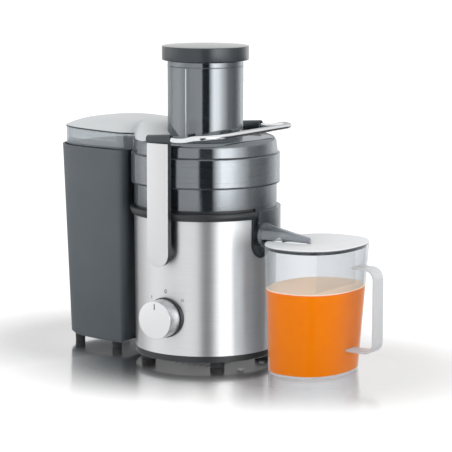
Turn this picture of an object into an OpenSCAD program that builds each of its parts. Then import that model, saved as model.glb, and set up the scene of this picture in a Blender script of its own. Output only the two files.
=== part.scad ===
// Centrifugal juicer with locking bail, side pulp bin and juice jug.
// The origin is on the worktop under the motor axis. The knob faces -Y, the jug stands at +X.

/* [Motor base] */
// Radius of the base ring and of the steel shell at its foot
base_r = 87; // [84:0.5:92]
// How much wider the steel shell is at its top
shell_flare = 1.5; // [0.5:0.1:3]
// Height of the steel shell
shell_h = 165.5; // [162:0.5:175]
// Sheet thickness of the steel shell
shell_t = 0.8; // [0.6:0.1:1.2]
// Height of the visible edge of the base tray
tray_edge_h = 8; // [6:0.5:12]
// Floor thickness of the base tray
tray_floor_t = 3; // [2:0.5:5]
// Height of the rubber feet
foot_h = 8; // [6:0.5:12]
// Radius of the rubber feet
foot_r = 9; // [7:0.5:10]
// How far the rubber feet lie inside the base radius
foot_inset = 15; // [13:1:20]

/* [Top deck and bowl] */
// Height of the deck's visible flange
deck_h = 9; // [7:0.5:12]
// How far the deck's flange stands out past the shell
deck_overhang = 5; // [4:0.5:7]
// How far the well that the bowl drops into lies inside the base radius
well_inset = 8; // [7:0.5:10]
// Height of the dark gap between the deck and the bowl
seat_gap = 3.5; // [2:0.5:5]
// How much wider the bowl's visible band is than the base
bowl_overhang = 1.3; // [0.5:0.1:2]
// Height of the bowl's visible band
bowl_band_h = 29; // [26:0.5:34]
// Wall of the clear plastic parts
clear_wall = 2.2; // [1.8:0.1:2.6]

/* [Lid and feed tube] */
// Height of the lid's lower tier
skirt_h = 36.5; // [33:0.5:42]
// Height of the lid's upper tier
lid_tier_h = 20; // [18:0.5:24]
// Radius of the lid's rounded top edge
lid_edge_r = 8; // [8:0.5:10]
// Bore radius of the feed tube
feed_bore_r = 43; // [38:0.5:43.5]
// Wall of the feed tube
feed_wall = 3.5; // [2.5:0.1:4]
// Height of the feed tube above the lid
tube_h = 93; // [80:1:110]

/* [Pusher] */
// Radius of the pusher's cap
cap_r = 53.5; // [50:0.5:58]
// Height of the cap's side
cap_h = 17.2; // [14:0.2:22]
// Gap round the pusher in the feed tube
pusher_gap = 0.6; // [0.4:0.1:1]
// Wall of the hollow pusher
pusher_wall = 2.4; // [1.8:0.1:3]

/* [Filter basket] */
// Outer radius of the grater disc
grater_r = 50.5; // [50:0.5:51.5]
// Room between the sieve's rim and the bowl's wall
sieve_room = 9.1; // [8:0.1:12]
// Height of the sieve cone
sieve_h = 58; // [54:0.5:60]
// Number of grating teeth in each ring
teeth_per_ring = 12; // [8:1:16]

/* [Motor] */
// Radius of the motor shaft
shaft_r = 4; // [3.5:0.5:4.5]
// Radius of the armature core
armature_r = 24.5; // [22:0.5:24.5]
// Room for the commutator and the brushes under the stator's plate stack
brush_room = 34; // [30:1:38]
// Room between the tray's floor and the lower motor bracket
motor_floor_gap = 15.5; // [12:0.5:18]
// Half width of the square stator
stator_half = 45; // [44:0.5:47]
// Radius of the cooling fan
fan_r = 36; // [30:1:40]
// Number of fan blades
fan_blades = 11; // [7:1:13]

/* [Locking bail] */
// Width of the steel arms
arm_w = 30; // [26:1:34]
// Gap between the deck's flange and the arms
arm_gap = 3.2; // [2.5:0.1:5]
// Thickness of the plastic core behind each arm plate
arm_core_t = 7.1; // [6:0.1:8]
// Thickness of the steel arm plate
arm_plate_t = 1.2; // [0.8:0.1:1.6]
// Depth of the pivots below the top of the steel shell
pivot_drop = 40; // [38:0.5:44]
// Diameter of the bail wire
wire_d = 6.2; // [5:0.1:6.6]
// Bend radius of the bail wire
wire_bend_r = 28; // [20:1:34]
// How far the wire reaches in front of the pivots
wire_reach = 74; // [74:0.5:78]
// Radius of the two grips
grip_r = 5.5; // [4.5:0.1:6]

/* [Knob] */
// Height of the knob above the worktop
knob_z = 62; // [58:1:66]
// Radius of the knob
knob_r = 23.3; // [18:0.1:26]
// Length of the knob
knob_len = 21; // [16:0.5:26]
// Radius of the dark ring behind the knob, beyond the knob
bezel_margin = 1.2; // [0.5:0.1:3]

/* [Spout] */
// Angle of the outlet, measured from the +X side
spout_turn = -6; // [-9:0.5:-4]
// Depth of the outlet below the top of the steel shell
outlet_drop = 20.5; // [20:0.5:22]
// Bore radius of the bowl's outlet tube
outlet_bore_r = 10; // [8:0.5:10]
// Radius of the nozzle's collar
collar_r = 15; // [14.5:0.1:15.2]
// Length of the nozzle past its collar
nozzle_len = 61.8; // [48:0.2:65]

/* [Jug] */
// Gap between the deck's flange and the jug's rim
jug_gap = 11.5; // [11.5:0.5:25]
// Half length of the jug's rim
jug_rim_a = 56; // [50:0.5:56]
// Half width of the jug's rim
jug_rim_b = 70; // [60:0.5:74]
// Half length of the jug's base
jug_base_a = 48; // [40:0.5:50]
// Half width of the jug's base
jug_base_b = 61; // [50:0.5:64]
// Wall of the jug
jug_wall = 2.4; // [2:0.1:3]
// Thickness of the jug's lid
jug_lid_t = 2.3; // [1.6:0.1:3]
// Width of the handle's strap
handle_w = 22; // [18:0.5:28]
// Thickness of the handle's strap
handle_t = 3; // [2.4:0.1:4]
// How far the handle stands out from the jug's rim
handle_out = 29.5; // [24:0.5:40]

/* [Pulp bin] */
// Angle of the bin behind the -X side
bin_turn = -10; // [-14:0.5:-6]
// Depth of the bin from the base's side to its far end
bin_depth = 115; // [95:1:130]
// Half width of the bin's rim
bin_half = 71; // [66:0.5:76]
// Draft of the bin's sides from rim to floor
bin_draft = 12; // [4:0.5:14]
// Wall of the bin
bin_wall = 2.2; // [1.8:0.1:3]
// Height of the bin's feet
bin_foot_h = 10; // [6:0.5:12]
// How far the lid's bin cover sits inside the bin's rim line
cover_inset = 5; // [3:0.5:7]
// Rise of the cover's domed roof
cover_crown = 15; // [8:0.5:18]

/* [Hidden] */
$fn = 96;
rest_gap = 0.3;
run_gap = 0.05;
over = 1;

tray_z0 = foot_h;
shell_z0 = tray_z0 + tray_edge_h;
shell_z1 = shell_z0 + shell_h;
shell_top_r = base_r + shell_flare;
shell_slope = shell_flare / shell_h;
tray_floor_z = tray_z0 + tray_floor_t;
deck_r = shell_top_r + deck_overhang;
foot_pitch_r = base_r - foot_inset;
well_r = base_r - well_inset;
bowl_r = base_r + bowl_overhang;
sieve_top_r = bowl_r - clear_wall - sieve_room;
arm_in_y = deck_r + arm_gap;
jug_x = deck_r + jug_gap + jug_rim_a;
deck_z1 = shell_z1 + deck_h;
bowl_step_z = deck_z1 + seat_gap;
bowl_z1 = bowl_step_z + bowl_band_h;
lid_lap = 3;
lid_z0 = bowl_z1 - lid_lap;
lid_seam_z = lid_z0 + skirt_h;
lid_z1 = lid_seam_z + lid_tier_h;
tube_z1 = lid_z1 + tube_h;
skirt_r = bowl_r + 3.7;
tier_r = skirt_r - 4;
feed_r = feed_bore_r + feed_wall;

outlet_z = shell_z1 - outlet_drop;
outlet_r = outlet_bore_r + 2;
outlet_sill = 0.5;
bowl_floor_z = outlet_z - outlet_bore_r - outlet_sill;
bowl_bottom_z = bowl_floor_z - clear_wall;
bowl_low_r = well_r - 2.7;
well_wall = 2.2;
well_floor_t = 2.5;
well_floor_z1 = bowl_bottom_z - 1.8;
well_floor_z0 = well_floor_z1 - well_floor_t;
well_neck_r = 11;
well_neck_z1 = bowl_floor_z + 13;
bowl_neck_r = 14.7;
bowl_neck_z1 = well_neck_z1 + 4;
notch_half = collar_r + 2.5;
notch_z = outlet_z - 11;
frame_w = 3;
apron_from = -13;
apron_to = 40;

hub_z0 = bowl_neck_z1 + 1.5;
socket_z1 = hub_z0 + 12.5;
plate_z0 = socket_z1 + 2;
plate_z1 = plate_z0 + 3;
plate_r = grater_r + 1.5;
grater_t = 1;
tooth_h = 1.5;
tooth_sink = 0.2;
sieve_z1 = plate_z1 + sieve_h;
sieve_t = 0.6;
rim_h = 4;
tube_z0 = plate_z1 + grater_t + 8;
pusher_z0 = tube_z0 - 2;
pusher_r = feed_bore_r - pusher_gap;
cap_z0 = tube_z1 + rest_gap;
cap_z1 = cap_z0 + cap_h;
cap_dome = 2;

damper_h = 6;
damper_r = 6;
damper_pitch = 44;
bracket_half = 52;
bracket_t = 6;
bracket_z0 = well_floor_z0 - damper_h - bracket_t;
bearing_r = 11;
bearing_h = 7;
fan_z0 = bracket_z0 - 18.5;
fan_h = 10;
stack_z1 = fan_z0 - 10;
low_bracket_t = 7;
low_bracket_z0 = tray_floor_z + motor_floor_gap;
low_bracket_z1 = low_bracket_z0 + low_bracket_t;
stack_z0 = low_bracket_z1 + brush_room;
stack_h = stack_z1 - stack_z0;
coil_h = 8;
low_bearing_z0 = low_bracket_z0 + 3;
bolt_pitch = 34;
bolt_r = 2.2;
post_r = 6;
commutator_r = 12;
commutator_h = 12;
commutator_z0 = low_bearing_z0 + bearing_h + 3;
brush_z = commutator_z0 + commutator_h / 2;
shaft_z0 = low_bearing_z0 - 2;
shaft_z1 = socket_z1 - 2;
column_pitch_r = well_r - 7;
column_r = 4.5;
column_angles = [20, 160, 200, 340];

pivot_z = shell_z1 - pivot_drop;
pivot_r = 4;
bush_r = 7;
bush_flange_r = 12.5;
bush_in_y = base_r - 3;
arm_out_y = arm_in_y + arm_core_t + arm_plate_t;
wire_y = arm_in_y + arm_core_t * 0.6;
arm_z1 = lid_z1 - 0.5;
wire_z = arm_z1 + grip_r - 0.5;
wire_rise = 5;
wire_tilt = atan(wire_rise / wire_reach);
grip_x0 = -16;
grip_len = 34;

bezel_r = knob_r + bezel_margin;
bezel_face_y = base_r + 3.5;
knob_back_y = bezel_face_y + 0.5;
knob_face_y = knob_back_y + knob_len;
switch_half = 17;
switch_front_y = base_r - 3;
switch_shaft_r = 3;
lead_r = 1.2;
lead_bend_r = 3.5;
holder_x1 = 34;
lead_x = holder_x1 + 10;
lead_y = base_r - 17;
block_y = base_r - 33;
gland_z = shell_z0 + 20;
plug_boss_y = well_r - 13;
plug_boss_t = 7.7;

collar_x0 = deck_r + 0.3;
collar_w = 4.4;
collar_x1 = collar_x0 + collar_w;
nozzle_reach = collar_x1 + nozzle_len;
beak_root_r = collar_r - 1;
tip_r = 4.5;
nozzle_wall = 1.8;
nozzle_drop = 1;
beak_tilt = atan(nozzle_drop / (nozzle_reach - collar_x0));
jug_top_z = outlet_z - 3.7 - jug_lid_t;
nozzle_floor_z = jug_top_z + jug_lid_t + 0.5;
jug_floor_t = 4;
jug_shift = -4;
jug_round = 2.35;
jug_steps = 60;
lid_inset = 0.6;
handle_r = 14;
handle_low_z = 29.5;
handle_top_z = jug_top_z - 22;
handle_x1 = jug_x + jug_rim_a + handle_out;
separator_x = jug_x + 26;
separator_half = jug_base_b - 14.8;
separator_h = 92;

bin_z0 = bin_foot_h;
bin_z1 = lid_seam_z;
bin_wrap_r = deck_r + 3.5;
bin_reach = bin_wrap_r + bin_depth;
bin_mid_x = bin_reach - 75;
bin_near_x = deck_r - 1.5;
bin_wrap_deg = 35;
bin_round = 3.1;
cover_z0 = bin_z1 + rest_gap;
cover_half = bin_half - cover_inset;
cover_near_x = bin_near_x - 4;
cover_reach = bin_reach - cover_inset;
roof_z = lid_z1 + cover_crown + 1.5;
roof_peak_x = bin_near_x + 3;
roof_sweep_r = 600;
neck_half = 49;

// ---- helpers -------------------------------------------------------------

// Upright ring between two radii.
module ring(r_out, r_in, z0, z1) {
    difference() {
        translate([0, 0, z0]) cylinder(r = r_out, h = z1 - z0);
        translate([0, 0, z0 - over]) cylinder(r = r_in, h = z1 - z0 + 2 * over);
    }
}

// Solid that follows the outer face of the steel shell, offset by extra and longer by more at each end.
module shell_solid(extra = 0, more = 0) {
    translate([0, 0, shell_z0 - more])
        cylinder(
            r1 = base_r + extra - shell_slope * more,
            r2 = shell_top_r + extra + shell_slope * more,
            h = shell_h + 2 * more
        );
}

// Rod along the Y axis at a height, on the front (-Y) side.
module front_rod(r, y_in, y_out, z, x = 0) {
    translate([x, -y_in, z]) rotate([90, 0, 0]) cylinder(r = r, h = y_out - y_in);
}

// Puts a shape drawn in the XZ plane between two distances on the front side.
module front_plate(y_in, y_out) {
    translate([0, -y_in, 0]) rotate([90, 0, 0]) linear_extrude(height = y_out - y_in) children();
}

// Rod along the outlet's direction.
module outlet_rod(r1, r2, x0, x1, z) {
    rotate([0, 0, spout_turn]) translate([x0, 0, z]) rotate([0, 90, 0])
        cylinder(r1 = r1, r2 = r2, h = x1 - x0);
}

// Children at the four corners of a square.
module at_corners(p) {
    for (sx = [-1, 1], sy = [-1, 1]) translate([sx * p, sy * p, 0]) children();
}

// Square plate with round corners.
module round_plate(half, r, z0, z1) {
    translate([0, 0, z0]) linear_extrude(height = z1 - z0) union() {
        square([2 * half, 2 * (half - r)], center = true);
        square([2 * (half - r), 2 * half], center = true);
        for (sx = [-1, 1], sy = [-1, 1]) translate([sx * (half - r), sy * (half - r)]) circle(r = r);
    }
}

// U shape of the outlet notch in the shell, seen along the outlet.
module notch_shape(half, z_top) {
    translate([0, notch_z]) circle(r = half);
    translate([-half, notch_z]) square([2 * half, z_top - notch_z]);
}

// The notch shape as a bar that runs outwards along the outlet's direction.
module notch_bar(half, z_top, x0, x1) {
    rotate([0, 0, spout_turn]) translate([x0, 0, 0]) rotate([90, 0, 90])
        linear_extrude(height = x1 - x0) notch_shape(half, z_top);
}

function signed_power(v, n) = (v < 0 ? -1 : 1) * pow(abs(v), n);

// Point of a squared-off oval.
function oval_point(a, b, n, t) = [a * signed_power(cos(t), 2 / n), b * signed_power(sin(t), 2 / n)];

// Point of a curve with one control point.
function bend_point(p, c, q, t) = (1 - t) * (1 - t) * p + 2 * t * (1 - t) * c + t * t * q;

// Closed solid through rings of points that all have the same count: a cup when the rings turn back inside.
module loft(rings) {
    n = len(rings[0]);
    last = (len(rings) - 1) * n;
    sides = [
        for (k = [0 : len(rings) - 2], i = [0 : n - 1])
            let (a = k * n + i, b = k * n + (i + 1) % n)
                each [[a, a + n, b + n], [a, b + n, b]]
    ];
    polyhedron(
        points = [for (r = rings) each r],
        faces = concat([[for (i = [0 : n - 1]) i]], sides, [[for (i = [n - 1 : -1 : 0]) last + i]])
    );
}

// ---- motor base ----------------------------------------------------------

// Moulded floor of the base with its upstanding rim inside the shell.
module base_tray() {
    rim_out = base_r - shell_t - 0.2;
    rim_in = rim_out - 2.2;
    color([0.16, 0.17, 0.18]) difference() {
        rotate_extrude() polygon([
            [0, tray_z0], [base_r - 1, tray_z0], [base_r, tray_z0 + 1], [base_r, shell_z0],
            [rim_out, shell_z0], [rim_out, shell_z0 + 8], [rim_in, shell_z0 + 8],
            [rim_in, tray_floor_z], [0, tray_floor_z]
        ]);
        for (a = [45 : 90 : 315])
            rotate([0, 0, a]) translate([foot_pitch_r, 0, tray_z0 - over])
                cylinder(r = 4, h = tray_floor_t + 2 * over);
        for (a = column_angles)
            rotate([0, 0, a]) translate([column_pitch_r, 0, tray_z0 - over])
                cylinder(r = 2.2, h = tray_floor_t + 2 * over);
        for (k = [-3 : 3])
            translate([k * 9 - 2, -28, tray_z0 - over]) cube([4, 56, tray_floor_t + 2 * over]);
    }
}

module rubber_feet() {
    color([0.1, 0.1, 0.1]) for (a = [45 : 90 : 315])
        rotate([0, 0, a]) translate([foot_pitch_r, 0, 0]) rotate_extrude() polygon([
            [0, 0], [foot_r - 1, 0], [foot_r, 1.2], [foot_r - 0.6, foot_h], [4, foot_h],
            [4, tray_floor_z + 1], [0, tray_floor_z + 1]
        ]);
}

module tray_screws() {
    color("silver") for (a = column_angles)
        rotate([0, 0, a]) translate([column_pitch_r, 0, 0]) {
            translate([0, 0, tray_z0 - 2.2]) cylinder(r = 3.8, h = 2.2);
            translate([0, 0, tray_z0]) cylinder(r = 1.5, h = tray_floor_t + 12);
        }
}

// Brushed sheet steel sleeve with its notch and holes.
module steel_shell() {
    color([0.75, 0.76, 0.77]) difference() {
        shell_solid();
        shell_solid(-shell_t, over);
        notch_bar(notch_half, shell_z1 + over, base_r - 12, base_r + 12);
        front_rod(5.2, base_r - 12, base_r + 8, knob_z);
        for (side = [0, 1]) mirror([0, side, 0]) front_rod(bush_r + 0.2, base_r - 12, base_r + 12, pivot_z);
        mirror([0, 1, 0]) front_rod(7.2, base_r - 12, base_r + 12, gland_z);
    }
}

// Dark deck: flange, seat for the bowl, well, neck round the shaft and the columns down to the tray.
module top_deck() {
    skirt_out = shell_top_r - shell_t - 0.3;
    well_in = well_r - well_wall;
    lip_r = bowl_r - 2;
    color([0.2, 0.21, 0.23]) difference() {
        union() {
            rotate_extrude() polygon([
                [well_neck_r, well_floor_z0], [well_r, well_floor_z0], [well_r, deck_z1 - 3.5],
                [skirt_out - 2.5, deck_z1 - 3.5], [skirt_out - 2.5, shell_z1 - 7], [skirt_out, shell_z1 - 7],
                [skirt_out, shell_z1], [deck_r - 2, shell_z1], [deck_r, shell_z1 + 4.5],
                [deck_r, deck_z1 - 1.2], [deck_r - 1.2, deck_z1], [lip_r, deck_z1], [lip_r, bowl_step_z],
                [lip_r - 3, bowl_step_z], [lip_r - 3, deck_z1], [well_in, deck_z1], [well_in, well_floor_z1],
                [well_neck_r + 2.2, well_floor_z1], [well_neck_r + 2.2, well_neck_z1],
                [well_neck_r, well_neck_z1]
            ]);
            for (a = column_angles)
                rotate([0, 0, a]) translate([column_pitch_r, 0, tray_floor_z])
                    cylinder(r = column_r, h = well_floor_z0 + 1 - tray_floor_z);
            translate([-8, plug_boss_y, well_floor_z0 - 26.5]) cube([16, plug_boss_t, 27]);
        }
        for (a = column_angles)
            rotate([0, 0, a]) translate([column_pitch_r, 0, tray_floor_z - over]) cylinder(r = 1.5, h = 14);
        at_corners(damper_pitch) translate([0, 0, well_floor_z0 - over]) cylinder(r = 2, h = over + 1.7);
        rotate([0, 0, apron_from - 0.5]) rotate_extrude(angle = apron_to - apron_from + 1)
            translate([bowl_r - 1.6, shell_z1 - 8]) square([12, deck_h + 8 + over]);
        notch_bar(outlet_r + 0.6, bowl_step_z + over, well_r - 9, deck_r + over);
        notch_bar(notch_half + 0.2, shell_z1, well_r + 2, skirt_out + over);
    }
}

// U-shaped trim that lines the notch in the shell.
module outlet_frame() {
    color([0.12, 0.13, 0.14]) intersection() {
        difference() {
            notch_bar(notch_half, shell_z1, base_r - 10, base_r + 10);
            notch_bar(notch_half - frame_w, shell_z1 + over, base_r - 12, base_r + 12);
        }
        difference() {
            shell_solid(0.9);
            shell_solid(-2, over);
        }
    }
}

module knob_bezel() {
    color([0.15, 0.16, 0.17]) difference() {
        front_rod(bezel_r, base_r - 8, bezel_face_y, knob_z);
        shell_solid();
        front_rod(5.2, base_r - 12, bezel_face_y + over, knob_z);
    }
}

// ---- electrics -----------------------------------------------------------

module rotary_switch() {
    color([0.85, 0.83, 0.78]) difference() {
        union() {
            translate([-switch_half, -switch_front_y, knob_z - switch_half])
                cube([2 * switch_half, 26, 2 * switch_half]);
            front_rod(5, switch_front_y - 1, bezel_face_y, knob_z);
        }
        front_rod(switch_shaft_r + run_gap, switch_front_y - 20, bezel_face_y + over, knob_z);
    }
}

module interlock_switch() {
    color([0.1, 0.1, 0.12]) {
        translate([-10, plug_boss_y + plug_boss_t, well_floor_z0 - 26.5]) cube([20, 8.5, 12]);
        translate([-2, plug_boss_y + plug_boss_t + 1.8, well_floor_z0 - 14.5]) cube([4, 4, 2]);
    }
}

module terminal_block() {
    color("ivory") difference() {
        translate([-18, block_y, tray_floor_z]) cube([36, 16, 12]);
        for (k = [-1 : 1]) translate([k * 11, block_y + 8, tray_floor_z + 3]) cylinder(r = 2.5, h = 12);
    }
}

// Rubber gland in the back of the shell where the supply lead goes in.
module cord_gland() {
    color([0.1, 0.1, 0.1]) difference() {
        mirror([0, 1, 0]) {
            front_rod(7, base_r - 6, base_r + 3.5, gland_z);
            difference() {
                front_rod(10.5, base_r - 4, base_r + 3.5, gland_z);
                shell_solid();
            }
            intersection() {
                front_rod(9.5, base_r - 6, base_r + 1, gland_z);
                shell_solid(-shell_t);
            }
        }
        mirror([0, 1, 0]) front_rod(3.6, base_r - 12, base_r + 10, gland_z);
    }
}

// Quarter bend of a lead, from its +X side round to its +Y side.
module lead_bend() {
    rotate_extrude(angle = 90) translate([lead_bend_r, 0]) circle(r = lead_r, $fn = 32);
}

// Straight run of a lead along a turned Z axis.
module lead_run(length, turn) {
    rotate(turn) cylinder(r = lead_r, h = length, $fn = 32);
}

// Supply leads from the terminal block to the switch, and leads from the switch to the two brush holders.
module wiring_leads() {
    low_z = tray_floor_z + 6;
    up_y = switch_front_y - 18;
    switch_z = knob_z - 4;
    color([0.1, 0.15, 0.5]) union() {
        for (x = [-6, 6]) translate([x, 0, 0]) {
            translate([0, block_y, low_z]) lead_run(block_y + up_y - lead_bend_r, [90, 0, 0]);
            translate([0, lead_bend_r - up_y, low_z + lead_bend_r])
                mirror([0, 1, 0]) rotate([0, 90, 0]) lead_bend();
            translate([0, -up_y, low_z + lead_bend_r])
                lead_run(knob_z - switch_half - low_z - lead_bend_r, [0, 0, 0]);
        }
        for (side = [0, 1]) mirror([side, 0, 0]) {
            translate([holder_x1, 0, brush_z]) lead_run(lead_x - lead_bend_r - holder_x1, [0, 90, 0]);
            translate([lead_x - lead_bend_r, 0, brush_z + lead_bend_r]) rotate([-90, 0, 0]) lead_bend();
            translate([lead_x, 0, brush_z + lead_bend_r])
                lead_run(switch_z - brush_z - 2 * lead_bend_r, [0, 0, 0]);
            translate([lead_x, -lead_bend_r, switch_z - lead_bend_r]) rotate([0, -90, 0]) lead_bend();
            translate([lead_x, -lead_bend_r, switch_z]) lead_run(lead_y - 2 * lead_bend_r, [90, 0, 0]);
            translate([lead_x - lead_bend_r, lead_bend_r - lead_y, switch_z]) rotate([0, 0, -90]) lead_bend();
            translate([switch_half, -lead_y, switch_z])
                lead_run(lead_x - lead_bend_r - switch_half, [0, 90, 0]);
        }
    }
}

// ---- motor ---------------------------------------------------------------

module motor_dampers() {
    color([0.1, 0.1, 0.1]) at_corners(damper_pitch)
        ring(damper_r, 2.2, bracket_z0 + bracket_t, well_floor_z0);
}

module motor_screws() {
    color("silver") at_corners(damper_pitch) {
        translate([0, 0, bracket_z0 - 3]) cylinder(r = 4.5, h = 3);
        translate([0, 0, bracket_z0]) cylinder(r = 2, h = bracket_t + damper_h + 1.7);
    }
}

// Drive-end bracket: plate, posts down to the stator and the upper bearing's seat.
module upper_motor_bracket() {
    z1 = bracket_z0 + bracket_t;
    color([0.7, 0.71, 0.72]) difference() {
        union() {
            round_plate(bracket_half, 10, bracket_z0, z1);
            translate([0, 0, bracket_z0 - 5.5]) cylinder(r = 15, h = z1 - bracket_z0 + 5.5);
            at_corners(bolt_pitch)
                translate([0, 0, stack_z1]) cylinder(r = post_r, h = bracket_z0 + 1 - stack_z1);
        }
        translate([0, 0, bracket_z0 - 3]) cylinder(r = bearing_r, h = z1 - bracket_z0 + 3 + over);
        translate([0, 0, bracket_z0 - 7]) cylinder(r = shaft_r + 1.5, h = 20);
        at_corners(bolt_pitch) translate([0, 0, stack_z1 - over]) cylinder(r = bolt_r, h = z1 - 1 - stack_z1);
        at_corners(damper_pitch)
            translate([0, 0, bracket_z0 - over]) cylinder(r = 2.2, h = bracket_t + 2 * over);
        for (a = [0 : 90 : 270])
            rotate([0, 0, a])
                translate([31, 0, bracket_z0 - over]) cylinder(r = 11, h = bracket_t + 2 * over);
    }
}

// Commutator-end bracket: plate, posts up to the stator, bearing seat and brush pedestals.
module lower_motor_bracket() {
    half = bolt_pitch + 8;
    color([0.7, 0.71, 0.72]) difference() {
        union() {
            round_plate(half, 8, low_bracket_z0, low_bracket_z1);
            translate([0, 0, low_bracket_z0]) cylinder(r = 15, h = 3 + bearing_h + 0.5);
            at_corners(bolt_pitch)
                translate([0, 0, low_bracket_z0]) cylinder(r = post_r, h = stack_z0 - low_bracket_z0);
            for (side = [0, 1]) mirror([side, 0, 0])
                translate([18, -6, low_bracket_z1 - 1]) cube([16, 12, brush_z - 5 - low_bracket_z1 + 1]);
        }
        translate([0, 0, low_bearing_z0]) cylinder(r = bearing_r, h = 30);
        translate([0, 0, low_bracket_z0 - over]) cylinder(r = shaft_r + 1.5, h = 30);
        at_corners(bolt_pitch) translate([0, 0, low_bracket_z0 - over])
            cylinder(r = bolt_r, h = stack_z0 - low_bracket_z0 + 2 * over);
    }
}

module motor_bolts() {
    color("silver") at_corners(bolt_pitch) {
        translate([0, 0, low_bracket_z0 - 3]) cylinder(r = 4, h = 3);
        translate([0, 0, low_bracket_z0]) cylinder(r = bolt_r, h = bracket_z0 + 3 - low_bracket_z0);
    }
}

module coil_leg_slots(grow, z0, z1) {
    for (a = [30, 150, 210, 330]) rotate([0, 0, a])
        translate([27.5 - grow, -4.5 - grow, z0]) cube([8 + 2 * grow, 9 + 2 * grow, z1 - z0]);
}

module stator_core() {
    color([0.45, 0.46, 0.48]) difference() {
        round_plate(stator_half, 10, stack_z0, stack_z1);
        translate([0, 0, stack_z0 - over]) cylinder(r = armature_r + 0.5, h = stack_h + 2 * over);
        coil_leg_slots(0.5, stack_z0 - over, stack_z1 + over);
        at_corners(bolt_pitch)
            translate([0, 0, stack_z0 - over]) cylinder(r = bolt_r, h = stack_h + 2 * over);
    }
}

module field_coils() {
    color([0.72, 0.36, 0.18]) union() {
        coil_leg_slots(0, stack_z0 - coil_h, stack_z1 + coil_h);
        for (a = [-30, 150], z = [stack_z0 - coil_h, stack_z1])
            translate([0, 0, z]) rotate([0, 0, a]) rotate_extrude(angle = 60)
                translate([27.5, 0]) square([8, coil_h]);
    }
}

module brush_holders() {
    color([0.8, 0.65, 0.3]) for (side = [0, 1]) mirror([side, 0, 0]) difference() {
        translate([holder_x1 - 20, -5.5, brush_z - 5]) cube([20, 11, 10]);
        translate([holder_x1 - 21, -3.5, brush_z - 3]) cube([19, 7, 6]);
    }
}

module carbon_brushes() {
    color([0.15, 0.15, 0.15]) for (side = [0, 1]) mirror([side, 0, 0]) difference() {
        translate([10, -3.5, brush_z - 3]) cube([20, 7, 6]);
        translate([0, 0, brush_z - 5]) cylinder(r = commutator_r + run_gap, h = 10);
    }
}

module bearing(z0) {
    color([0.8, 0.8, 0.82]) ring(bearing_r, shaft_r + run_gap, z0, z0 + bearing_h);
}

module upper_bearing() { bearing(bracket_z0 - 3); }

module lower_bearing() { bearing(low_bearing_z0); }

module shaft_seal() {
    color([0.1, 0.1, 0.1]) ring(well_neck_r, shaft_r + run_gap, well_neck_z1 - 6, well_neck_z1);
}

module motor_shaft() {
    color([0.8, 0.8, 0.82]) translate([0, 0, shaft_z0]) cylinder(r = shaft_r, h = shaft_z1 - shaft_z0);
}

module armature() {
    color([0.5, 0.4, 0.35]) difference() {
        union() {
            translate([0, 0, stack_z0]) cylinder(r = armature_r, h = stack_h);
            translate([0, 0, stack_z0 - 10]) cylinder(r1 = 15, r2 = 21, h = 10);
            translate([0, 0, stack_z1]) cylinder(r1 = 21, r2 = 17, h = 6);
        }
        translate([0, 0, stack_z0 - 12]) cylinder(r = shaft_r, h = stack_h + 24);
    }
}

module commutator() {
    color([0.75, 0.45, 0.25]) ring(commutator_r, shaft_r, commutator_z0, commutator_z0 + commutator_h);
}

module cooling_fan() {
    color([0.25, 0.26, 0.28]) difference() {
        union() {
            translate([0, 0, fan_z0]) cylinder(r = fan_r, h = 1.6);
            translate([0, 0, fan_z0]) cylinder(r = 8, h = fan_h);
            for (k = [0 : fan_blades - 1]) rotate([0, 0, k * 360 / fan_blades])
                translate([7, -0.8, fan_z0 + 1]) cube([fan_r - 8.5, 1.6, fan_h - 1]);
        }
        translate([0, 0, fan_z0 - over]) cylinder(r = shaft_r, h = fan_h + 2 * over);
    }
}

// Lugs of the drive coupling, or their slots in the basket's hub when grown.
module coupling_lugs(grow, z0, z1) {
    for (a = [0 : 120 : 240]) rotate([0, 0, a])
        translate([0, -2 - grow, z0]) cube([11.4 + grow, 4 + 2 * grow, z1 - z0]);
}

module drive_coupling() {
    z0 = well_neck_z1 + 1.5;
    z1 = socket_z1 - rest_gap;
    color([0.12, 0.12, 0.13]) difference() {
        union() {
            translate([0, 0, z0]) cylinder(r = 9, h = z1 - z0);
            coupling_lugs(0, z0, z1);
        }
        translate([0, 0, z0 - over]) cylinder(r = shaft_r, h = shaft_z1 - z0 + over);
    }
}

// ---- filter basket -------------------------------------------------------

module basket_hub() {
    color([0.2, 0.21, 0.23]) difference() {
        union() {
            translate([0, 0, hub_z0]) cylinder(r = 21, h = plate_z0 - hub_z0);
            translate([0, 0, plate_z0]) cylinder(r = plate_r, h = plate_z1 - plate_z0);
            ring(21, 18.5, hub_z0 - 9, hub_z0 + 1);
        }
        translate([0, 0, hub_z0 - over]) cylinder(r = 9.3, h = socket_z1 - hub_z0 + over);
        coupling_lugs(0.3, hub_z0 - over, socket_z1);
    }
}

module grater_disc() {
    color([0.78, 0.78, 0.8]) union() {
        translate([0, 0, plate_z1]) cylinder(r = grater_r, h = grater_t);
        for (k = [0 : 3], i = [0 : teeth_per_ring - 1])
            rotate([0, 0, (i + k / 4) * 360 / teeth_per_ring])
                translate([12 + k * 10, 0, plate_z1 + grater_t - tooth_sink])
                    cylinder(r1 = 1.3, r2 = 0.3, h = tooth_h + tooth_sink, $fn = 16);
    }
}

module sieve_cone() {
    color([0.7, 0.71, 0.72]) difference() {
        translate([0, 0, plate_z1]) cylinder(r1 = plate_r, r2 = sieve_top_r, h = sieve_h);
        translate([0, 0, plate_z1 - sieve_h / 20])
            cylinder(
                r1 = plate_r - sieve_t - (sieve_top_r - plate_r) / 20,
                r2 = sieve_top_r - sieve_t + (sieve_top_r - plate_r) / 20,
                h = sieve_h * 1.1
            );
        for (k = [1 : 4], i = [0 : 11]) rotate([0, 0, (i + k / 2) * 30])
            translate([40, 0, plate_z1 + k * sieve_h / 5]) rotate([0, 90, 0]) cylinder(r = 1.5, h = 50);
    }
}

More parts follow.
